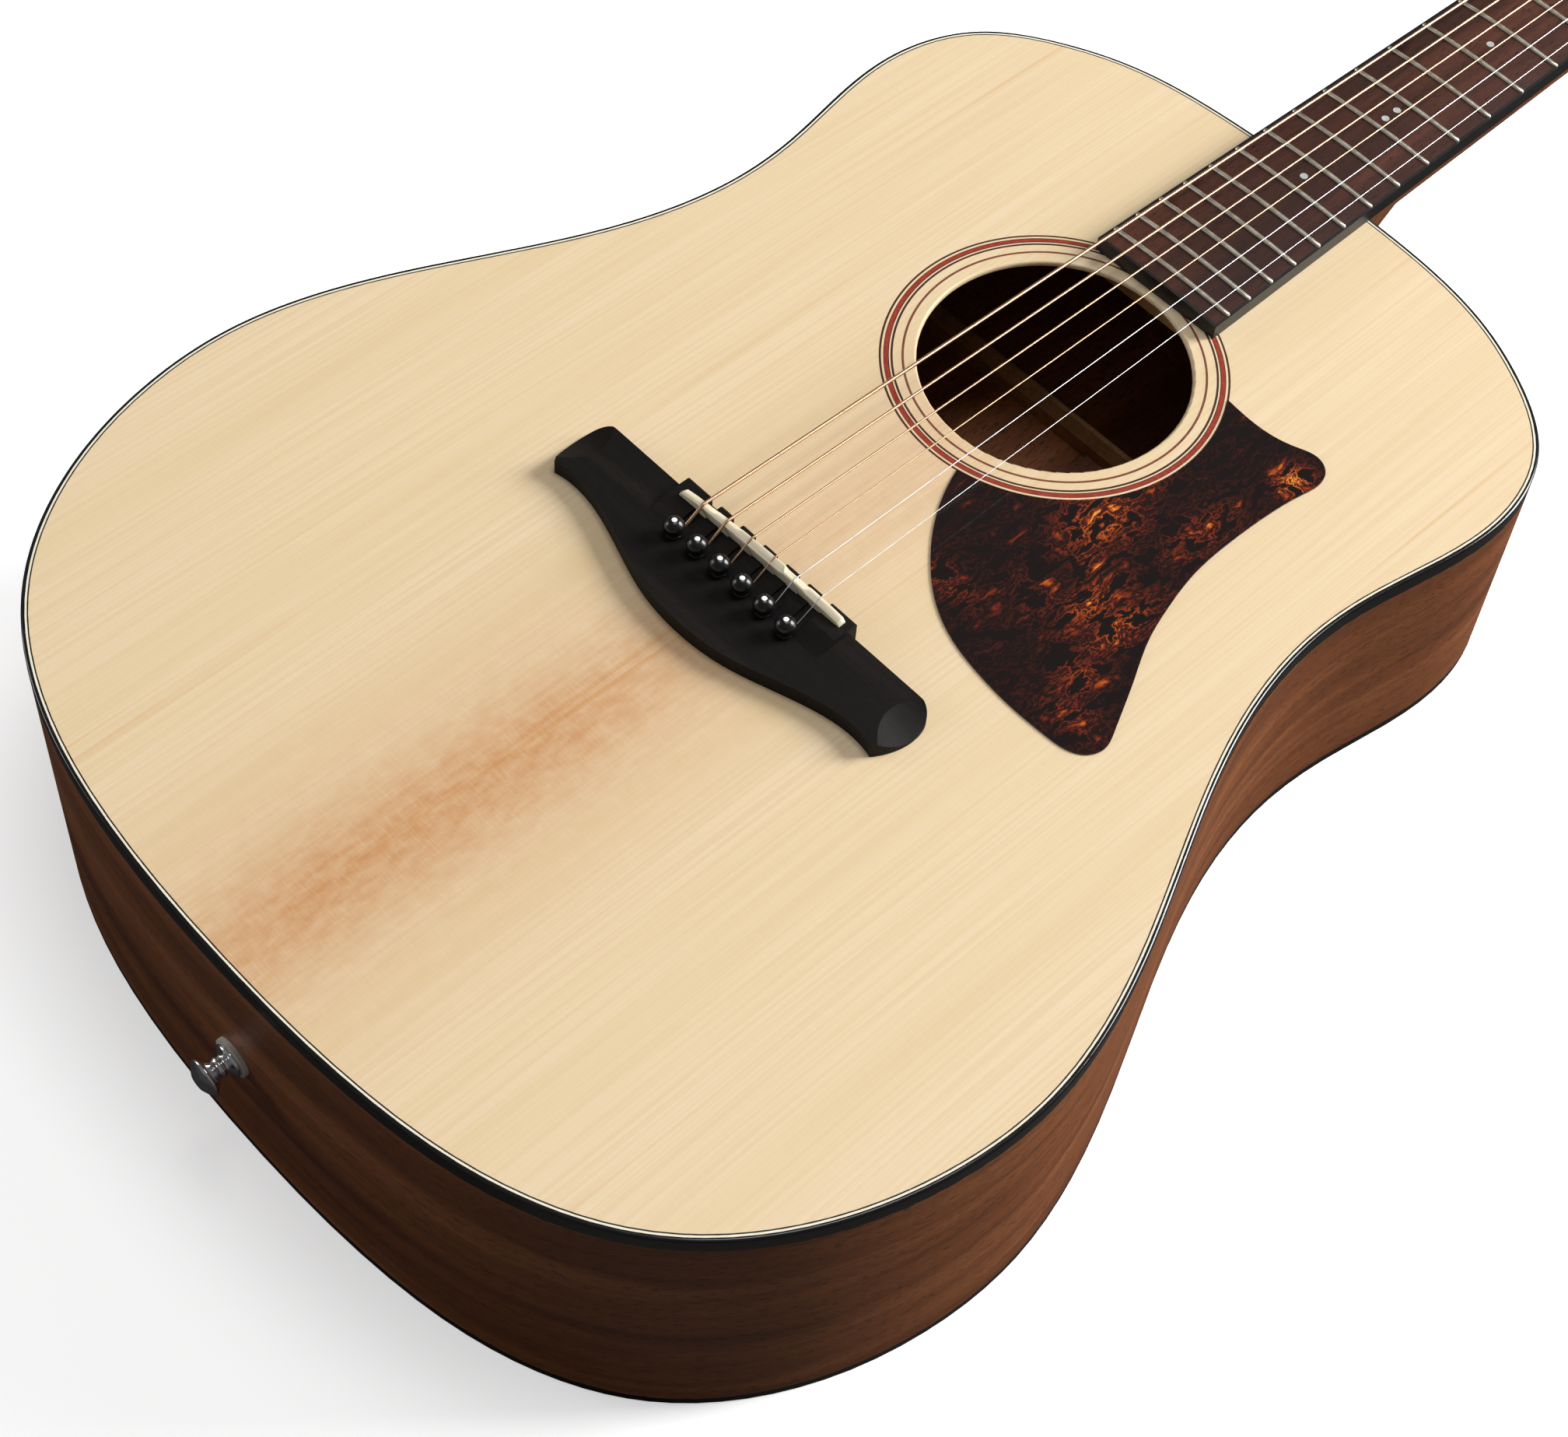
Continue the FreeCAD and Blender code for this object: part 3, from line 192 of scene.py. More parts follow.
def woodMaterial(name, colours, grain, roughness, coat=0.1, flowMm=70, fibreMm=9, poreMm=0.9, poreShare=0.6,
                 gloss=0.5):
    material, tree, shader = startMaterial(name, {"Roughness": roughness, "IOR": 1.48, "Coat Weight": coat,
                                                  "Coat Roughness": 0.32, "Specular IOR Level": gloss})
    where = space(tree)
    flow = add(tree, "TexNoise", {"Scale": 1, "Detail": 3, "Distortion": 0.4}, {
        0: add(tree, "Mapping", {"Scale": [g / (flowMm * mm) for g in grain]}, {0: where})})
    fibre = add(tree, "TexNoise", {"Scale": 1, "Detail": 4, "Roughness": 0.62, "Distortion": 0.3}, {
        0: add(tree, "Mapping", {"Scale": [g / (fibreMm * mm) for g in grain]}, {0: where})})
    pores = add(tree, "TexNoise", {"Scale": 1, "Detail": 2}, {
        0: add(tree, "Mapping", {"Scale": [max(g, 0.22) / (poreMm * mm) for g in grain]}, {0: where})})
    body = add(tree, "ValToRGB", {"stops": [(0.3, colours["dark"]), (0.5, colours["mid"]),
                                            (0.72, colours["light"])]}, {0: flow})
    streak = add(tree, "ValToRGB", {"stops": [(0.3, 0.62), (0.68, 1.0)]}, {0: fibre})
    body = add(tree, "Mix", {"data_type": "RGBA", "blend_type": "MULTIPLY", 0: 1.0}, {6: body, 7: streak})
    pits = add(tree, "ValToRGB", {"stops": [(0.57, 0.0), (0.64, poreShare)]}, {0: pores})
    body = add(tree, "Mix", {"data_type": "RGBA", 7: colours["pore"]}, {0: pits, 6: body.outputs[2]})
    tree.links.new(body.outputs[2], shader.inputs["Base Color"])
    pitted = add(tree, "Bump", {"Strength": 0.5, "Distance": 0.08 * mm, "invert": True}, {"Height": pits})
    tree.links.new(pitted.outputs[0], shader.inputs["Normal"])
    return material


# tortoiseshell sheet, polished: near-black brown with orange flames that curl along the neck
tortoise = {"deep": "#150a09", "brown": "#3a150d", "red": "#7d2c12", "amber": "#c4641c", "gold": "#e8a049",
            "ground": 0.3, "flameMm": (4.6, 12.0)}
# x, y, reach across, reach along, in millimetres, and how strongly flames gather there
flamePatches = [(62, 101, 12, 17, 1.0), (95, 167, 6, 7, 1.5), (85, 72, 8, 16, 0.9), (98, 72, 7, 18, 0.9),
                (103, 46, 8, 10, 0.7), (45, 41, 14, 6, 0.6), (89, 124, 8, 18, 0.6), (71, 86, 8, 7, 0.7),
                (60, 128, 8, 8, 0.5), (112, 33, 12, 8, 0.55), (70, 60, 12, 12, 0.35)]


def tortoiseMaterial():
    material, tree, shader = startMaterial("polished_tortoiseshell_sheet", {
        "Roughness": 0.12, "IOR": 1.5, "Coat Weight": 0.3, "Coat Roughness": 0.04})
    where = space(tree, True)
    curl = add(tree, "TexNoise", {"Scale": 1, "Detail": 3}, {
        0: add(tree, "Mapping", {"Scale": (60, 30, 10)}, {0: where})}).outputs[1]
    pushed = add(tree, "VectorMath", {"operation": "MULTIPLY_ADD", 1: (0.014, 0.014, 0.0)}, {
        0: curl, 2: where})
    flame = add(tree, "TexNoise", {"Scale": 1, "Detail": 5, "Roughness": 0.62, "Distortion": 0.25}, {
        0: add(tree, "Mapping", {"Scale": [1 / (f * mm) for f in tortoise["flameMm"]] + [40]}, {0: pushed})})
    # a vein runs where the noise crosses its middle value
    vein = add(tree, "Math", {"operation": "ABSOLUTE"}, {
        0: add(tree, "Math", {"operation": "SUBTRACT", 1: 0.5}, {0: flame})})
    veins = add(tree, "ValToRGB", {"stops": [(0.0, 0.5), (0.022, 0.25), (0.06, 0.0)]}, {0: vein})
    blots = add(tree, "ValToRGB", {"stops": [(0.53, 0.0), (0.72, 1.0)]}, {0: flame})
    level = add(tree, "Math", {"operation": "MAXIMUM"}, {0: veins, 1: blots})
    gather = None
    for x, y, reachX, reachY, share in flamePatches:
        away = add(tree, "VectorMath", {"operation": "SUBTRACT", 1: (x * mm, y * mm, 0)}, {0: where})
        shrink = (1 / (reachX * mm), 1 / (reachY * mm), 0)
        away = add(tree, "VectorMath", {"operation": "MULTIPLY", 1: shrink}, {0: away})
        far = add(tree, "VectorMath", {"operation": "DOT_PRODUCT"}, {0: away, 1: away}).outputs["Value"]
        bell = add(tree, "Math", {"operation": "POWER", 0: 0.45}, {1: far})
        bell = add(tree, "Math", {"operation": "MULTIPLY", 1: share}, {0: bell})
        gather = add(tree, "Math", {"operation": "MAXIMUM"}, {0: bell, 1: gather}) if gather else bell
    gather = add(tree, "Math", {"operation": "ADD", 1: tortoise["ground"]}, {0: gather})
    level = add(tree, "Math", {"operation": "MULTIPLY"}, {0: level, 1: gather})
    shades = [(0.06, "deep"), (0.2, "brown"), (0.38, "red"), (0.6, "amber"), (0.85, "gold")]
    colour = add(tree, "ValToRGB", {"stops": [(at, tortoise[shade]) for at, shade in shades]}, {0: level})
    tree.links.new(colour.outputs[0], shader.inputs["Base Color"])
    return material


# rosette band: dyed wood let into the top, lacquered flush
rosette = {"centreY": 142.5, "proud": 0.03, "deep": 0.5, "steps": 256, "start": 54.9,
           # the outer radius of each ring and its look
           "rings": [(55.6, "spruce"), (56.5, "ringBrown"), (59.7, "spruce"), (60.55, "ringDark"),
                     (61.1, "spruce"), (61.45, "ringDark"), (62.95, "ringRed"), (63.2, "ringDark"),
                     (64.0, "spruce"), (64.8, "ringDark")]}


def mouldedMaterial(name, colour, tint, roughness, coat=0.0, cloudMm=6, uneven=0.05):
    # moulded or scraped plastic: one colour whose shade and sheen are barely uneven
    material, tree, shader = startMaterial(name, {"IOR": 1.5, "Coat Weight": coat, "Coat Roughness": 0.05})
    cloud = add(tree, "TexNoise", {"Scale": 1 / (cloudMm * mm), "Detail": 3}, {0: space(tree)})
    shade = add(tree, "ValToRGB", {"stops": [(0.35, colour), (0.7, tint)]}, {0: cloud})
    sheen = add(tree, "ValToRGB", {"stops": [(0.3, roughness), (0.7, roughness + uneven)]}, {0: cloud})
    tree.links.new(shade.outputs[0], shader.inputs["Base Color"])
    tree.links.new(sheen.outputs[0], shader.inputs["Roughness"])
    return material


def boneMaterial():
    # bone, sanded and polished: warm grey-white with faint streaks along the bar
    material, tree, shader = startMaterial("polished_bone", {"Roughness": 0.34, "IOR": 1.55})
    streak = add(tree, "TexNoise", {"Scale": 1, "Detail": 3}, {
        0: add(tree, "Mapping", {"Scale": (60, 700, 700)}, {0: space(tree)})})
    shade = add(tree, "ValToRGB", {"stops": [(0.3, "#cfc3a6"), (0.7, "#eee3c8")]}, {0: streak})
    tree.links.new(shade.outputs[0], shader.inputs["Base Color"])
    return material


def metalMaterial(name, colour, dull, roughness, brushMm=(3, 3, 3)):
    # plated or drawn metal: faint haze and tarnish over an even mirror
    material, tree, shader = startMaterial(name, {"Metallic": 1.0})
    haze = add(tree, "TexNoise", {"Scale": 1, "Detail": 3}, {
        0: add(tree, "Mapping", {"Scale": [1 / (b * mm) for b in brushMm]}, {0: space(tree)})})
    shade = add(tree, "ValToRGB", {"stops": [(0.35, dull), (0.65, colour)]}, {0: haze})
    sheen = add(tree, "ValToRGB", {"stops": [(0.3, roughness), (0.7, roughness + 0.07)]}, {0: haze})
    tree.links.new(shade.outputs[0], shader.inputs["Base Color"])
    tree.links.new(sheen.outputs[0], shader.inputs["Roughness"])
    return material


# the darker groove colour is painted shade between the turns, not a colour of the bronze
winding = {"pitchMm": 0.7, "colour": "#f0cba6", "grooveShade": "#9c6c48"}


def woundMaterial():
    # phosphor bronze wound on a steel core, the grooves between turns darkened as painted shade; the real
    # turns are 0.3 mm apart, drawn wider so that they show
    material, tree, shader = startMaterial("phosphor_bronze_winding", {"Metallic": 1.0, "Roughness": 0.36})
    # the wave's period is pi / 10 at scale 1
    turns = add(tree, "TexWave", {"Scale": math.pi / 10 / (winding["pitchMm"] * mm), "bands_direction": "Y"},
                {0: space(tree)}).outputs[1]
    # painted shade: the colour falls to the darker groove colour between the turns
    shade = add(tree, "ValToRGB", {"stops": [(0.1, winding["grooveShade"]), (0.5, winding["colour"])]}, {0: turns})
    tree.links.new(shade.outputs[0], shader.inputs["Base Color"])
    tree.links.new(add(tree, "Bump", {"Strength": 0.35, "Distance": 0.05 * mm}, {"Height": turns}).outputs[0],
                   shader.inputs["Normal"])
    return material


materials = {
    "spruce": spruceMaterial(),
    "ribs": woodMaterial("open_pored_mahogany_ribs", mahogany, ribGrain, 0.45),
    "backPlate": woodMaterial("open_pored_mahogany_back", mahogany, neckGrain, 0.45),
    "neckWood": woodMaterial("satin_mahogany_neck", mahogany, neckGrain, 0.42),
    "fingerboard": woodMaterial("oiled_rosewood", rosewood, (1.6, 0.07, 1.6), 0.55, 0.0, 40, 4, gloss=0.3),
    "bridge": woodMaterial("satin_blackwood", bridgeWood, bridgeGrain, 0.62, 0.0, 40, 4, 0.8, 0.5, 0.16),
    "veneer": woodMaterial("rosewood_head_veneer", rosewood, neckGrain, 0.35),
    "brace": woodMaterial("planed_spruce_brace", braceWood, neckGrain, 0.6),
    "block": woodMaterial("rough_sawn_mahogany", mahogany, neckGrain, 0.7),
    "binding": mouldedMaterial("polished_black_binding", "#0a0a0a", "#101010", 0.16, 0.2),
    "boardBinding": mouldedMaterial("satin_black_binding", "#0b0a0a", "#121111", 0.42),
    "whiteLine": mouldedMaterial("ivory_purfling", "#efe6cd", "#f4eddb", 0.3, 0.1),
    "darkLine": mouldedMaterial("black_fibre_purfling", "#15100d", "#1d1612", 0.4),
    "ringDark": mouldedMaterial("black_dyed_wood_line", "#35130c", "#4a2015", 0.5, 0, 2),
    "ringBrown": mouldedMaterial("brown_wood_line", "#6a3722", "#85492e", 0.5, 0, 2),
    "ringRed": mouldedMaterial("red_dyed_wood_band", "#8a2614", "#a5351f", 0.5, 0, 1.6),
    "guard": tortoiseMaterial(),
    "bone": boneMaterial(),
    "pearl": mouldedMaterial("pearl_dot", "#c9c9c2", "#a9b2b4", 0.2, 0.3, 1.2),
    "pin": mouldedMaterial("moulded_black_pin", "#070707", "#0c0c0d", 0.26, 0.1),
    "pinDot": mouldedMaterial("white_pin_dot", "#ffffff", "#f4f3ee", 0.35),
    "nickel": metalMaterial("nickel_silver_fretwire", "#e8e4d4", "#d6d1c0", 0.34),
    "chrome": metalMaterial("bright_chrome", "#e6e7ea", "#d6d8dc", 0.05),
    "steel": metalMaterial("plain_steel_string", "#f0f1f4", "#dfe1e5", 0.34),
    "darkSteel": metalMaterial("black_oxide_steel", "#4a4a4d", "#333336", 0.38),
    "wound": woundMaterial(),
    "washer": mouldedMaterial("off_white_felt_washer", "#c9c5b8", "#d8d4c8", 0.7, 0, 1.5),
}
print("materials:", len(materials))

finish = {
    "soundboard": "spruce", "side_bass": "ribs", "side_treble": "ribs", "back": "backPlate",
    "neck": "neckWood",
    "top_binding": "binding", "back_binding": "binding", "purfling_light": "whiteLine",
    "purfling_dark": "darkLine", "rosette": "ringDark", "pickguard": "guard", "bridge": "bridge",
    "saddle": "bone", "nut": "bone", "fretboard": "fingerboard", "fretboard_binding": "boardBinding",
    "frets": "nickel", "position_dots": "pearl", "head_veneer": "veneer", "kerfed_linings": "brace",
    "neck_block": "block", "end_block": "block", "x_brace_bass": "brace", "x_brace_treble": "brace",
    "upper_brace": "brace", "tone_bars": "brace", "bridge_plate": "block", "back_braces": "brace",
    "back_seam_strip": "block", "strap_button": "chrome", "strap_button_washer": "washer",
    "truss_rod": "darkSteel", "truss_rod_nut": "darkSteel", "tuner_plates": "chrome",
    "tuner_bushings": "chrome", "tuner_screws": "chrome",
}
for number in range(1, 7):
    finish["string_%d" % number] = "wound" if number > 2 else "steel"
    finish["bridge_pin_%d" % number] = "pin"
    finish["tuner_post_%d" % number] = "chrome"
    finish["tuner_key_%d" % number] = "chrome"
for nodeName, key in finish.items():
    nodes[nodeName].data.materials.clear()
    nodes[nodeName].data.materials.append(materials[key])
print("finishes set on", len(finish), "nodes")


def keep(name, mesh, looks, body, slot, *replaced):
    # a finished piece: its looks, the body it rides on and the CAD nodes that it stands for
    for look in looks:
        mesh.materials.append(materials[look])
    piece = bpy.data.objects.new(name, mesh)
    bpy.context.scene.collection.objects.link(piece)
    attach(piece, body)
    if replaced:
        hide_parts(*replaced)
    return piece


def toMesh(work, name, place):
    # closes a bmesh into a smooth mesh, laid into the row's frame
    bmesh.ops.remove_doubles(work, verts=work.verts, dist=1e-6)
    bmesh.ops.recalc_face_normals(work, faces=work.faces)
    bmesh.ops.transform(work, matrix=place, verts=work.verts)
    for face in work.faces:
        face.smooth = True
    mesh = bpy.data.meshes.new(name)
    work.to_mesh(mesh)
    work.free()
    return mesh


def turned(profile, steps, softenMm):
    # a lathe profile of (radius, height) pairs in millimetres, turned about Z, its sharp rims softened
    work = bmesh.new()
    points = [work.verts.new((r * mm, 0, h * mm)) for r, h in profile]
    edges = [work.edges.new(pair) for pair in zip(points, points[1:])]
    bmesh.ops.spin(work, geom=points + edges, axis=(0, 0, 1), cent=(0, 0, 0), angle=turnFull, steps=steps,
                   use_merge=True)
    bmesh.ops.remove_doubles(work, verts=work.verts, dist=1e-6)
    bmesh.ops.recalc_face_normals(work, faces=work.faces)
    rims = [e for e in work.edges if len(e.link_faces) == 2 and e.calc_face_angle() > math.radians(32)]
    bmesh.ops.bevel(work, geom=rims, offset=softenMm * mm, offset_type="OFFSET", segments=2, profile=0.5,
                    affect="EDGES", material=-1, clamp_overlap=True)
    return work


# rosette: rings spun as one thin band, a hair proud of the lacquer
work = bmesh.new()
bounds = [rosette["start"]] + [outer for outer, _ in rosette["rings"]]
section = [(r, rosette["proud"]) for r in bounds]
section = [(bounds[0], -rosette["deep"])] + section + [(bounds[-1], -rosette["deep"])]
points = [work.verts.new((r * mm, 0, h * mm)) for r, h in section]
edges = [work.edges.new(pair) for pair in zip(points, points[1:] + points[:1])]
bmesh.ops.spin(work, geom=points + edges, axis=(0, 0, 1), cent=(0, 0, 0), angle=turnFull,
               steps=rosette["steps"], use_merge=True)
looks = sorted({look for _, look in rosette["rings"]})
for face in work.faces:
    middle = face.calc_center_median()
    radius = math.hypot(middle.x, middle.y) / mm
    ring = next((look for outer, look in rosette["rings"] if radius < outer), "ringDark")
    face.material_index = looks.index(ring)
mesh = toMesh(work, "rosette", boardFrame @ Matrix.Translation((0, rosette["centreY"] * mm, 0)))
for polygon in mesh.polygons:
    polygon.use_smooth = False
keep("rosette_inlaid", mesh, looks, "guitar", "rosette_inlay", "rosette")
print("rosette spun")


# bridge pins: polished ball heads over a ring and a dark neck, with a white eye let into each
pinShape = {"spacing": 11.15, "y": -19.3, "bow": 0.7, "ballMid": 11.3, "ballR": 3.9, "eyeR": 1.05,
            "ballSteps": 12, "neckR": 1.95, "rounds": 36,
            # below the ball: neck, ring, shank and tip
            "shank": [(1.95, 8.35), (2.7, 8.1), (2.95, 7.55), (2.75, 7.0), (2.4, 6.6), (2.4, -6.0),
                      (2.1, -10.5), (1.7, -11.5), (0, -11.5)]}


def pinProfile():
    mid, ball, eye = pinShape["ballMid"], pinShape["ballR"], pinShape["eyeR"]
    top = math.asin(eye / ball)
    low = math.pi - math.asin(pinShape["neckR"] / ball)
    rim = mid + ball * math.cos(top)
    shape = [(0, mid + ball - 0.1), (eye - 0.08, rim - 0.02), (eye, rim - 0.2)]
    steps = pinShape["ballSteps"]
    for k in range(steps + 1):
        a = top + (low - top) * k / steps
        shape.append((ball * math.sin(a), mid + ball * math.cos(a)))
    return shape + pinShape["shank"]


for i in range(6):
    x = (i - 2.5) * pinShape["spacing"]
    y = pinShape["y"] - pinShape["bow"] * ((i - 2.5) / 2.5) ** 2
    work = turned(pinProfile(), pinShape["rounds"], 0.1)
    eyeHeight = (pinShape["ballMid"] + pinShape["ballR"] - 0.35) * mm
    for face in work.faces:
        middle = face.calc_center_median()
        inEye = math.hypot(middle.x, middle.y) < (pinShape["eyeR"] - 0.06) * mm
        face.material_index = int(middle.z > eyeHeight and inEye)
    number = 6 - i
    mesh = toMesh(work, "pin_%d" % number, boardFrame @ Matrix.Translation((x * mm, y * mm, 0)))
    keep("bridge_pin_%d_turned" % number, mesh, ["pin", "pinDot"], "pin_%d" % number, "black_pin",
         "bridge_pin_%d" % number)
print("bridge pins turned")


# strap button: chrome, a dished head on a banded shaft, screwed through its felt washer
button = {"y": -235.1, "z": -62.0,
          "profile": [(0, 13.3), (1.6, 13.25), (3.4, 12.9), (7.0, 11.0), (7.55, 10.4), (7.2, 9.7), (5.6, 8.4),
                      (4.1, 6.9), (3.6, 6.3), (3.6, 5.4), (4.05, 5.1), (4.05, 4.3), (3.6, 4.0), (3.6, 2.9),
                      (4.4, 2.2), (6.0, 1.6),
                      (6.3, 1.0), (6.3, 0.0), (2.5, 0.0), (2.5, -19.5), (0, -20.0)]}
work = turned(button["profile"], 64, 0.25)
tailward = boardFrame @ Matrix.Translation((0, button["y"] * mm, button["z"] * mm)) @ Matrix.Rotation(
    math.pi / 2, 4, "X")
mesh = toMesh(work, "strap_button", tailward)
keep("strap_button_turned", mesh, ["chrome"], "guitar", "chrome", "strap_button")
print("strap button turned")


# saddle: a bone bar whose crest steps back and forth so that each string plays in tune
saddle = {"half": 39.0, "thick": 3.2, "floor": 4.0, "midY": -5.35, "slant": 1.7, "lowString": 13.2,
          "archR": 400.0, "spacing": 11.05, "crestY": [-6.8, -5.7, -4.4, -4.0, -5.7, -3.9],
          "shoulder": 1.1, "flat": 0.42}


def archDrop(x):
    return saddle["archR"] - math.sqrt(saddle["archR"] ** 2 - x * x)


def saddleStation(x, crestAt, tall):
    # the bar's section where it crosses x: two feet, two shoulders and the crest
    edge = saddle["thick"] / 2
    top = (saddle["lowString"] - archDrop(x)) * tall + saddle["floor"] * (1 - tall)
    fall = min(saddle["shoulder"], top - saddle["floor"])
    ahead, behind = fall * (edge - crestAt) / (2 * edge), fall * (crestAt + edge) / (2 * edge)
    return [(-edge, saddle["floor"]), (edge, saddle["floor"]), (edge, top - ahead), (crestAt + 0.2, top),
            (crestAt - 0.2, top), (-edge, top - behind)]


stations = [(-saddle["half"], 0.0, 0.7), (-saddle["half"] + 1.6, -0.6, 0.95)]
for i in range(6):
    x = (i - 2.5) * saddle["spacing"]
    slotY = saddle["midY"] + x * math.tan(math.radians(saddle["slant"]))
    at = min(max(saddle["crestY"][i] - slotY, -1.2), 1.2)
    reach = saddle["spacing"] * saddle["flat"]
    stations += [(x - reach, at, 1.0), (x + reach, at, 1.0)]
stations += [(saddle["half"] - 1.2, 0.6, 0.97), (saddle["half"], 0.0, 0.84)]
work = bmesh.new()
ring = [work.verts.new((stations[0][0] * mm, y * mm, z * mm)) for y, z in saddleStation(*stations[0])]
face = work.faces.new(ring)
for station in stations[1:]:
    grown = bmesh.ops.extrude_face_region(work, geom=[face])["geom"]
    work.faces.remove(face)
    face = next(g for g in grown if isinstance(g, bmesh.types.BMFace))
    for vert, (y, z) in zip(face.verts, saddleStation(*station)):
        vert.co = (station[0] * mm, y * mm, z * mm)
bmesh.ops.recalc_face_normals(work, faces=work.faces)
crisp = [e for e in work.edges if len(e.link_faces) == 2 and e.calc_face_angle() > math.radians(20)]
bmesh.ops.bevel(work, geom=crisp, offset=0.14 * mm, offset_type="OFFSET", segments=2, profile=0.5,
                affect="EDGES", material=-1, clamp_overlap=True)
saddlePlace = boardFrame @ Matrix.Translation((0, saddle["midY"] * mm, 0)) @ Matrix.Rotation(
    math.radians(saddle["slant"]), 4, "Z")
keep("saddle_shaped", toMesh(work, "saddle", saddlePlace), ["bone"], "guitar", "bone", "saddle")
print("saddle shaped")


# frets: nickel-silver crowns bent to the fingerboard's arch, their ends rounded over the binding
fret = {"scale": 650.0, "count": 20, "half": 1.1, "high": 1.1, "boardTop": 7.3, "archR": 400.0, "endIn": 0.5,
        "nutWide": 44.2, "endWide": 59.8, "endY": 196.5, "steps": 10}
work = bmesh.new()
for number in range(1, fret["count"] + 1):
    y = fret["scale"] * 2 ** (-number / 12)
    share = (fret["scale"] - y) / (fret["scale"] - fret["endY"])
    half = (fret["nutWide"] + (fret["endWide"] - fret["nutWide"]) * share) / 2 - fret["endIn"] - fret["half"]
    crown = bmesh.ops.create_uvsphere(work, u_segments=14, v_segments=8, radius=mm,
                                      matrix=Matrix.Rotation(math.pi / 2, 4, "Y"))["verts"]
    # the ball's two halves are drawn apart into a bar, then the bar is bent down at its ends
    for vert in crown:
        side = 1 if vert.co.x > 0.05 * mm else -1 if vert.co.x < -0.05 * mm else 0
        vert.co = (vert.co.x * fret["half"] + side * half * mm, vert.co.y * fret["half"],
                   vert.co.z * fret["high"])
    edges = {e for v in crown for e in v.link_edges if abs(e.verts[0].co.x - e.verts[1].co.x) > 5 * mm}
    bmesh.ops.subdivide_edges(work, edges=list(edges), cuts=fret["steps"], use_grid_fill=True)
    whole = [v for v in work.verts if not v.tag]
    for vert in whole:
        drop = fret["archR"] * mm - math.sqrt((fret["archR"] * mm) ** 2 - vert.co.x ** 2)
        vert.co += Vector((0, y * mm, fret["boardTop"] * mm - drop))
        vert.tag = True
keep("frets_crowned", toMesh(work, "frets", boardFrame), ["nickel"], "guitar", "nickel", "frets")
print("frets crowned:", fret["count"])


# strings: each runs from its ball under the bridge, over saddle and nut, and winds down its post
strings = {"radius": [0.675, 0.535, 0.405, 0.305, 0.205, 0.15], "nutSpacing": 7.16, "lowAtNut": 8.9,
           "nutY": 652.75, "holeAhead": 3.4, "holeTop": 6.2, "ballZ": -7.2, "postX": 21.0, "postR": 3.05,
           "postU": [48.0, 90.0, 132.0],
           "windTop": 7.0, "turns": 3, "perTurn": 8, "sides": 4}


def stringRoute(i):
    r = strings["radius"][i]
    holeX = (i - 2.5) * pinShape["spacing"]
    holeY = pinShape["y"] - pinShape["bow"] * ((i - 2.5) / 2.5) ** 2 + strings["holeAhead"]
    saddleX = (i - 2.5) * saddle["spacing"]
    nutX = (i - 2.5) * strings["nutSpacing"]
    foot = Vector((holeX, holeY, strings["ballZ"]))
    lip = Vector((holeX, holeY, strings["holeTop"]))
    crest = Vector((saddleX, saddle["crestY"][i], saddle["lowString"] - archDrop(saddleX) + r))
    nut = Vector((nutX, strings["nutY"], strings["lowAtNut"] - archDrop(nutX) + r))
    side = -1 if i < 3 else 1
    post = Vector((side * strings["postX"], strings["postU"][i if i < 3 else 5 - i], 0))
    intoHead = headFrame.inverted() @ boardFrame
    nutThere = (intoHead @ (nut * mm)) / mm
    reach = strings["postR"] + r
    towards = math.atan2(nutThere.y - post.y, nutThere.x - post.x)
    start = towards - side * math.acos(reach / math.hypot(nutThere.x - post.x, nutThere.y - post.y))
    outOfHead = intoHead.inverted()
    arrives = Vector((reach * math.cos(start), reach * math.sin(start), strings["windTop"]))
    touch = (outOfHead @ ((post + arrives) * mm)) / mm
    route = [foot, (foot + lip) / 2]
    bends = ((foot, lip, crest, 1.0), (lip, crest, nut, 2.0), (crest, nut, touch, 4.0))
    for before, corner, after, near in bends:
        route += [corner + (before - corner).normalized() * near, corner,
                  corner + (after - corner).normalized() * near]
    route.append(touch + (nut - touch).normalized() * 3)
    # a quadratic curve runs inside its control points, so the winding's points stand further out
    wide = reach / math.cos(math.pi / strings["perTurn"]) ** 0.9
    for k in range(strings["turns"] * strings["perTurn"] + 1):
        a = start - side * turnFull * k / strings["perTurn"]
        depth = strings["windTop"] - (2 * r + 0.03) * k / strings["perTurn"]
        around = Vector((wide * math.cos(a), wide * math.sin(a), depth))
        route.append((outOfHead @ ((post + around) * mm)) / mm)
    return route


for i in range(6):
    number = 6 - i
    route = stringRoute(i)
    line = bpy.data.curves.new("string_line_%d" % number, "CURVE")
    line.dimensions = "3D"
    line.bevel_depth = strings["radius"][i] * mm
    line.bevel_resolution = strings["sides"]
    line.resolution_u = 6
    line.use_fill_caps = True
    spline = line.splines.new("NURBS")
    spline.points.add(len(route) - 1)
    for point, place in zip(spline.points, route):
        point.co = (*(boardFrame @ (place * mm)), 1)
    spline.order_u = 3
    spline.use_endpoint_u = True
    spline.use_smooth = True
    source = bpy.data.objects.new("string_line_%d" % number, line)
    bpy.context.scene.collection.objects.link(source)
    mesh = bpy.data.meshes.new_from_object(source.evaluated_get(bpy.context.evaluated_depsgraph_get()))
    bpy.data.objects.remove(source)
    mesh.materials.clear()
    for polygon in mesh.polygons:
        polygon.use_smooth = True
    keep("string_%d_drawn" % number, mesh, ["wound" if number > 2 else "steel"], "guitar",
         "bronze_string" if number > 2 else "steel_string", "string_%d" % number)
print("strings drawn")


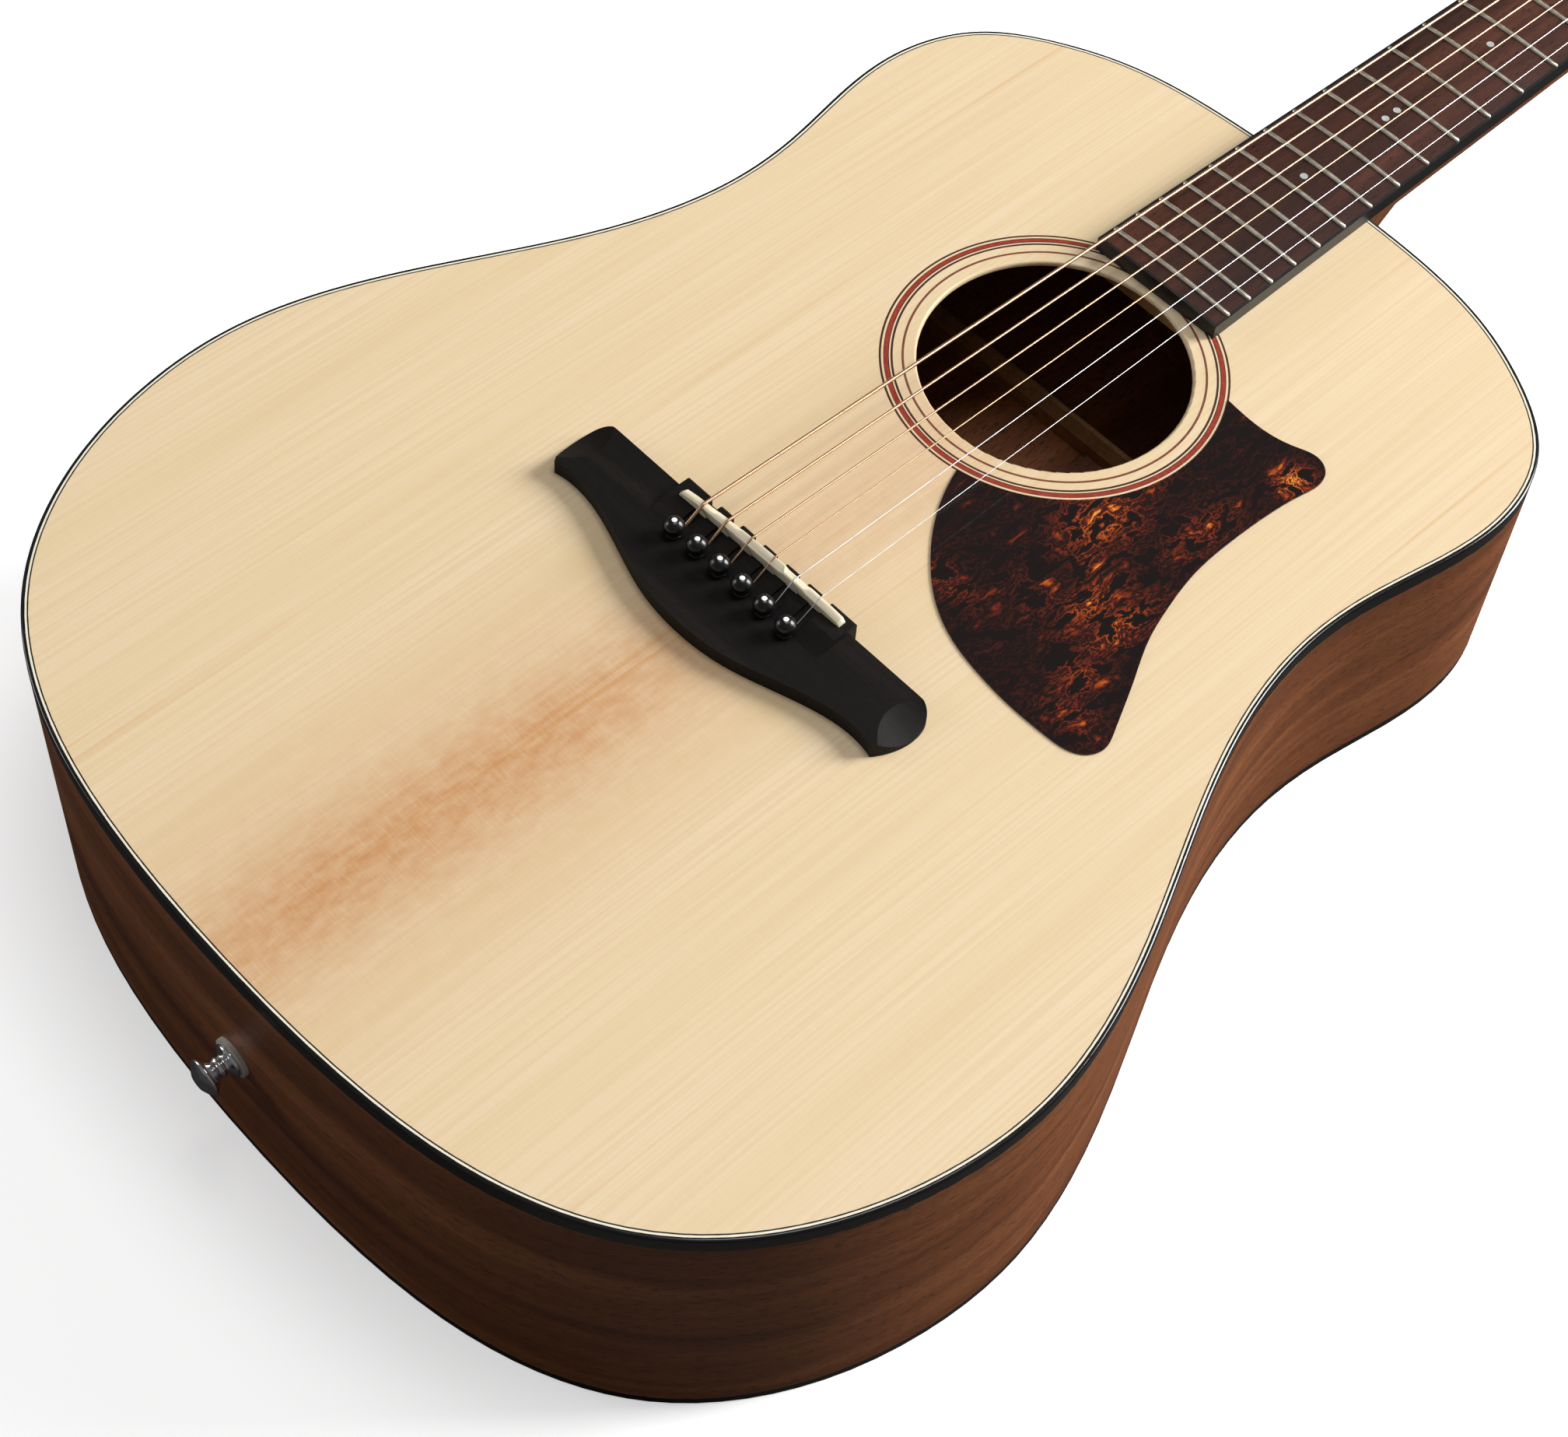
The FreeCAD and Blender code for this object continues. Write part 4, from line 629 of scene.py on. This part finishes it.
# studio
camera = bpy.data.cameras.new("camera")
camera.lens = view["lens"]
camera.sensor_width = 36
camera.shift_x, camera.shift_y = view["shift"]
camera.clip_start = 0.05
cameraObject = bpy.data.objects.new("camera", camera)
cameraObject.location = view["place"]
cameraObject.rotation_euler = [math.radians(a) for a in view["turn"]]
bpy.context.scene.collection.objects.link(cameraObject)
bpy.context.scene.camera = cameraObject
bpy.context.scene.view_settings.view_transform = "Standard"

work = bmesh.new()
bmesh.ops.create_grid(work, x_segments=1, y_segments=1, size=studio["floorSize"] / 2)
floorMesh = bpy.data.meshes.new("floor")
work.to_mesh(floorMesh)
work.free()
paper, paperTree, paperShader = startMaterial("paper_floor", {"Roughness": 0.9, "Specular IOR Level": 0.0})
# the sheet looks white but lights the object like a dim room, so that the ribs keep their depth
seen = add(paperTree, "LightPath").outputs["Is Camera Ray"]
paperColour = add(paperTree, "Mix", {"data_type": "RGBA", 6: studio["floorBounce"],
                                     7: studio["floorColour"]}, {0: seen})
paperTree.links.new(paperColour.outputs[2], paperShader.inputs["Base Color"])
glow = add(paperTree, "Math", {"operation": "MULTIPLY", 1: studio["floorGlow"]}, {0: seen})
paperTree.links.new(glow.outputs[0], paperShader.inputs["Emission Strength"])
floorMesh.materials.append(paper)
floor = bpy.data.objects.new("floor", floorMesh)
floor.location = (0, 0, -0.0005)
bpy.context.scene.collection.objects.link(floor)

world = bpy.data.worlds.new("studio")
world.use_nodes = True
world.node_tree.nodes["Background"].inputs[0].default_value = tone(studio["world"])
world.node_tree.nodes["Background"].inputs[1].default_value = studio["worldPower"]
bpy.context.scene.world = world

for name, (place, aim, wide, tall, power) in studio["lamps"].items():
    lamp = bpy.data.lights.new(name, "AREA")
    lamp.shape = "RECTANGLE"
    lamp.size = wide
    lamp.size_y = tall
    lamp.energy = power
    lampObject = bpy.data.objects.new(name, lamp)
    lampObject.location = place
    lampObject.rotation_euler = (Vector(aim) - Vector(place)).to_track_quat("-Z", "Y").to_euler()
    bpy.context.scene.collection.objects.link(lampObject)
print("studio ready")
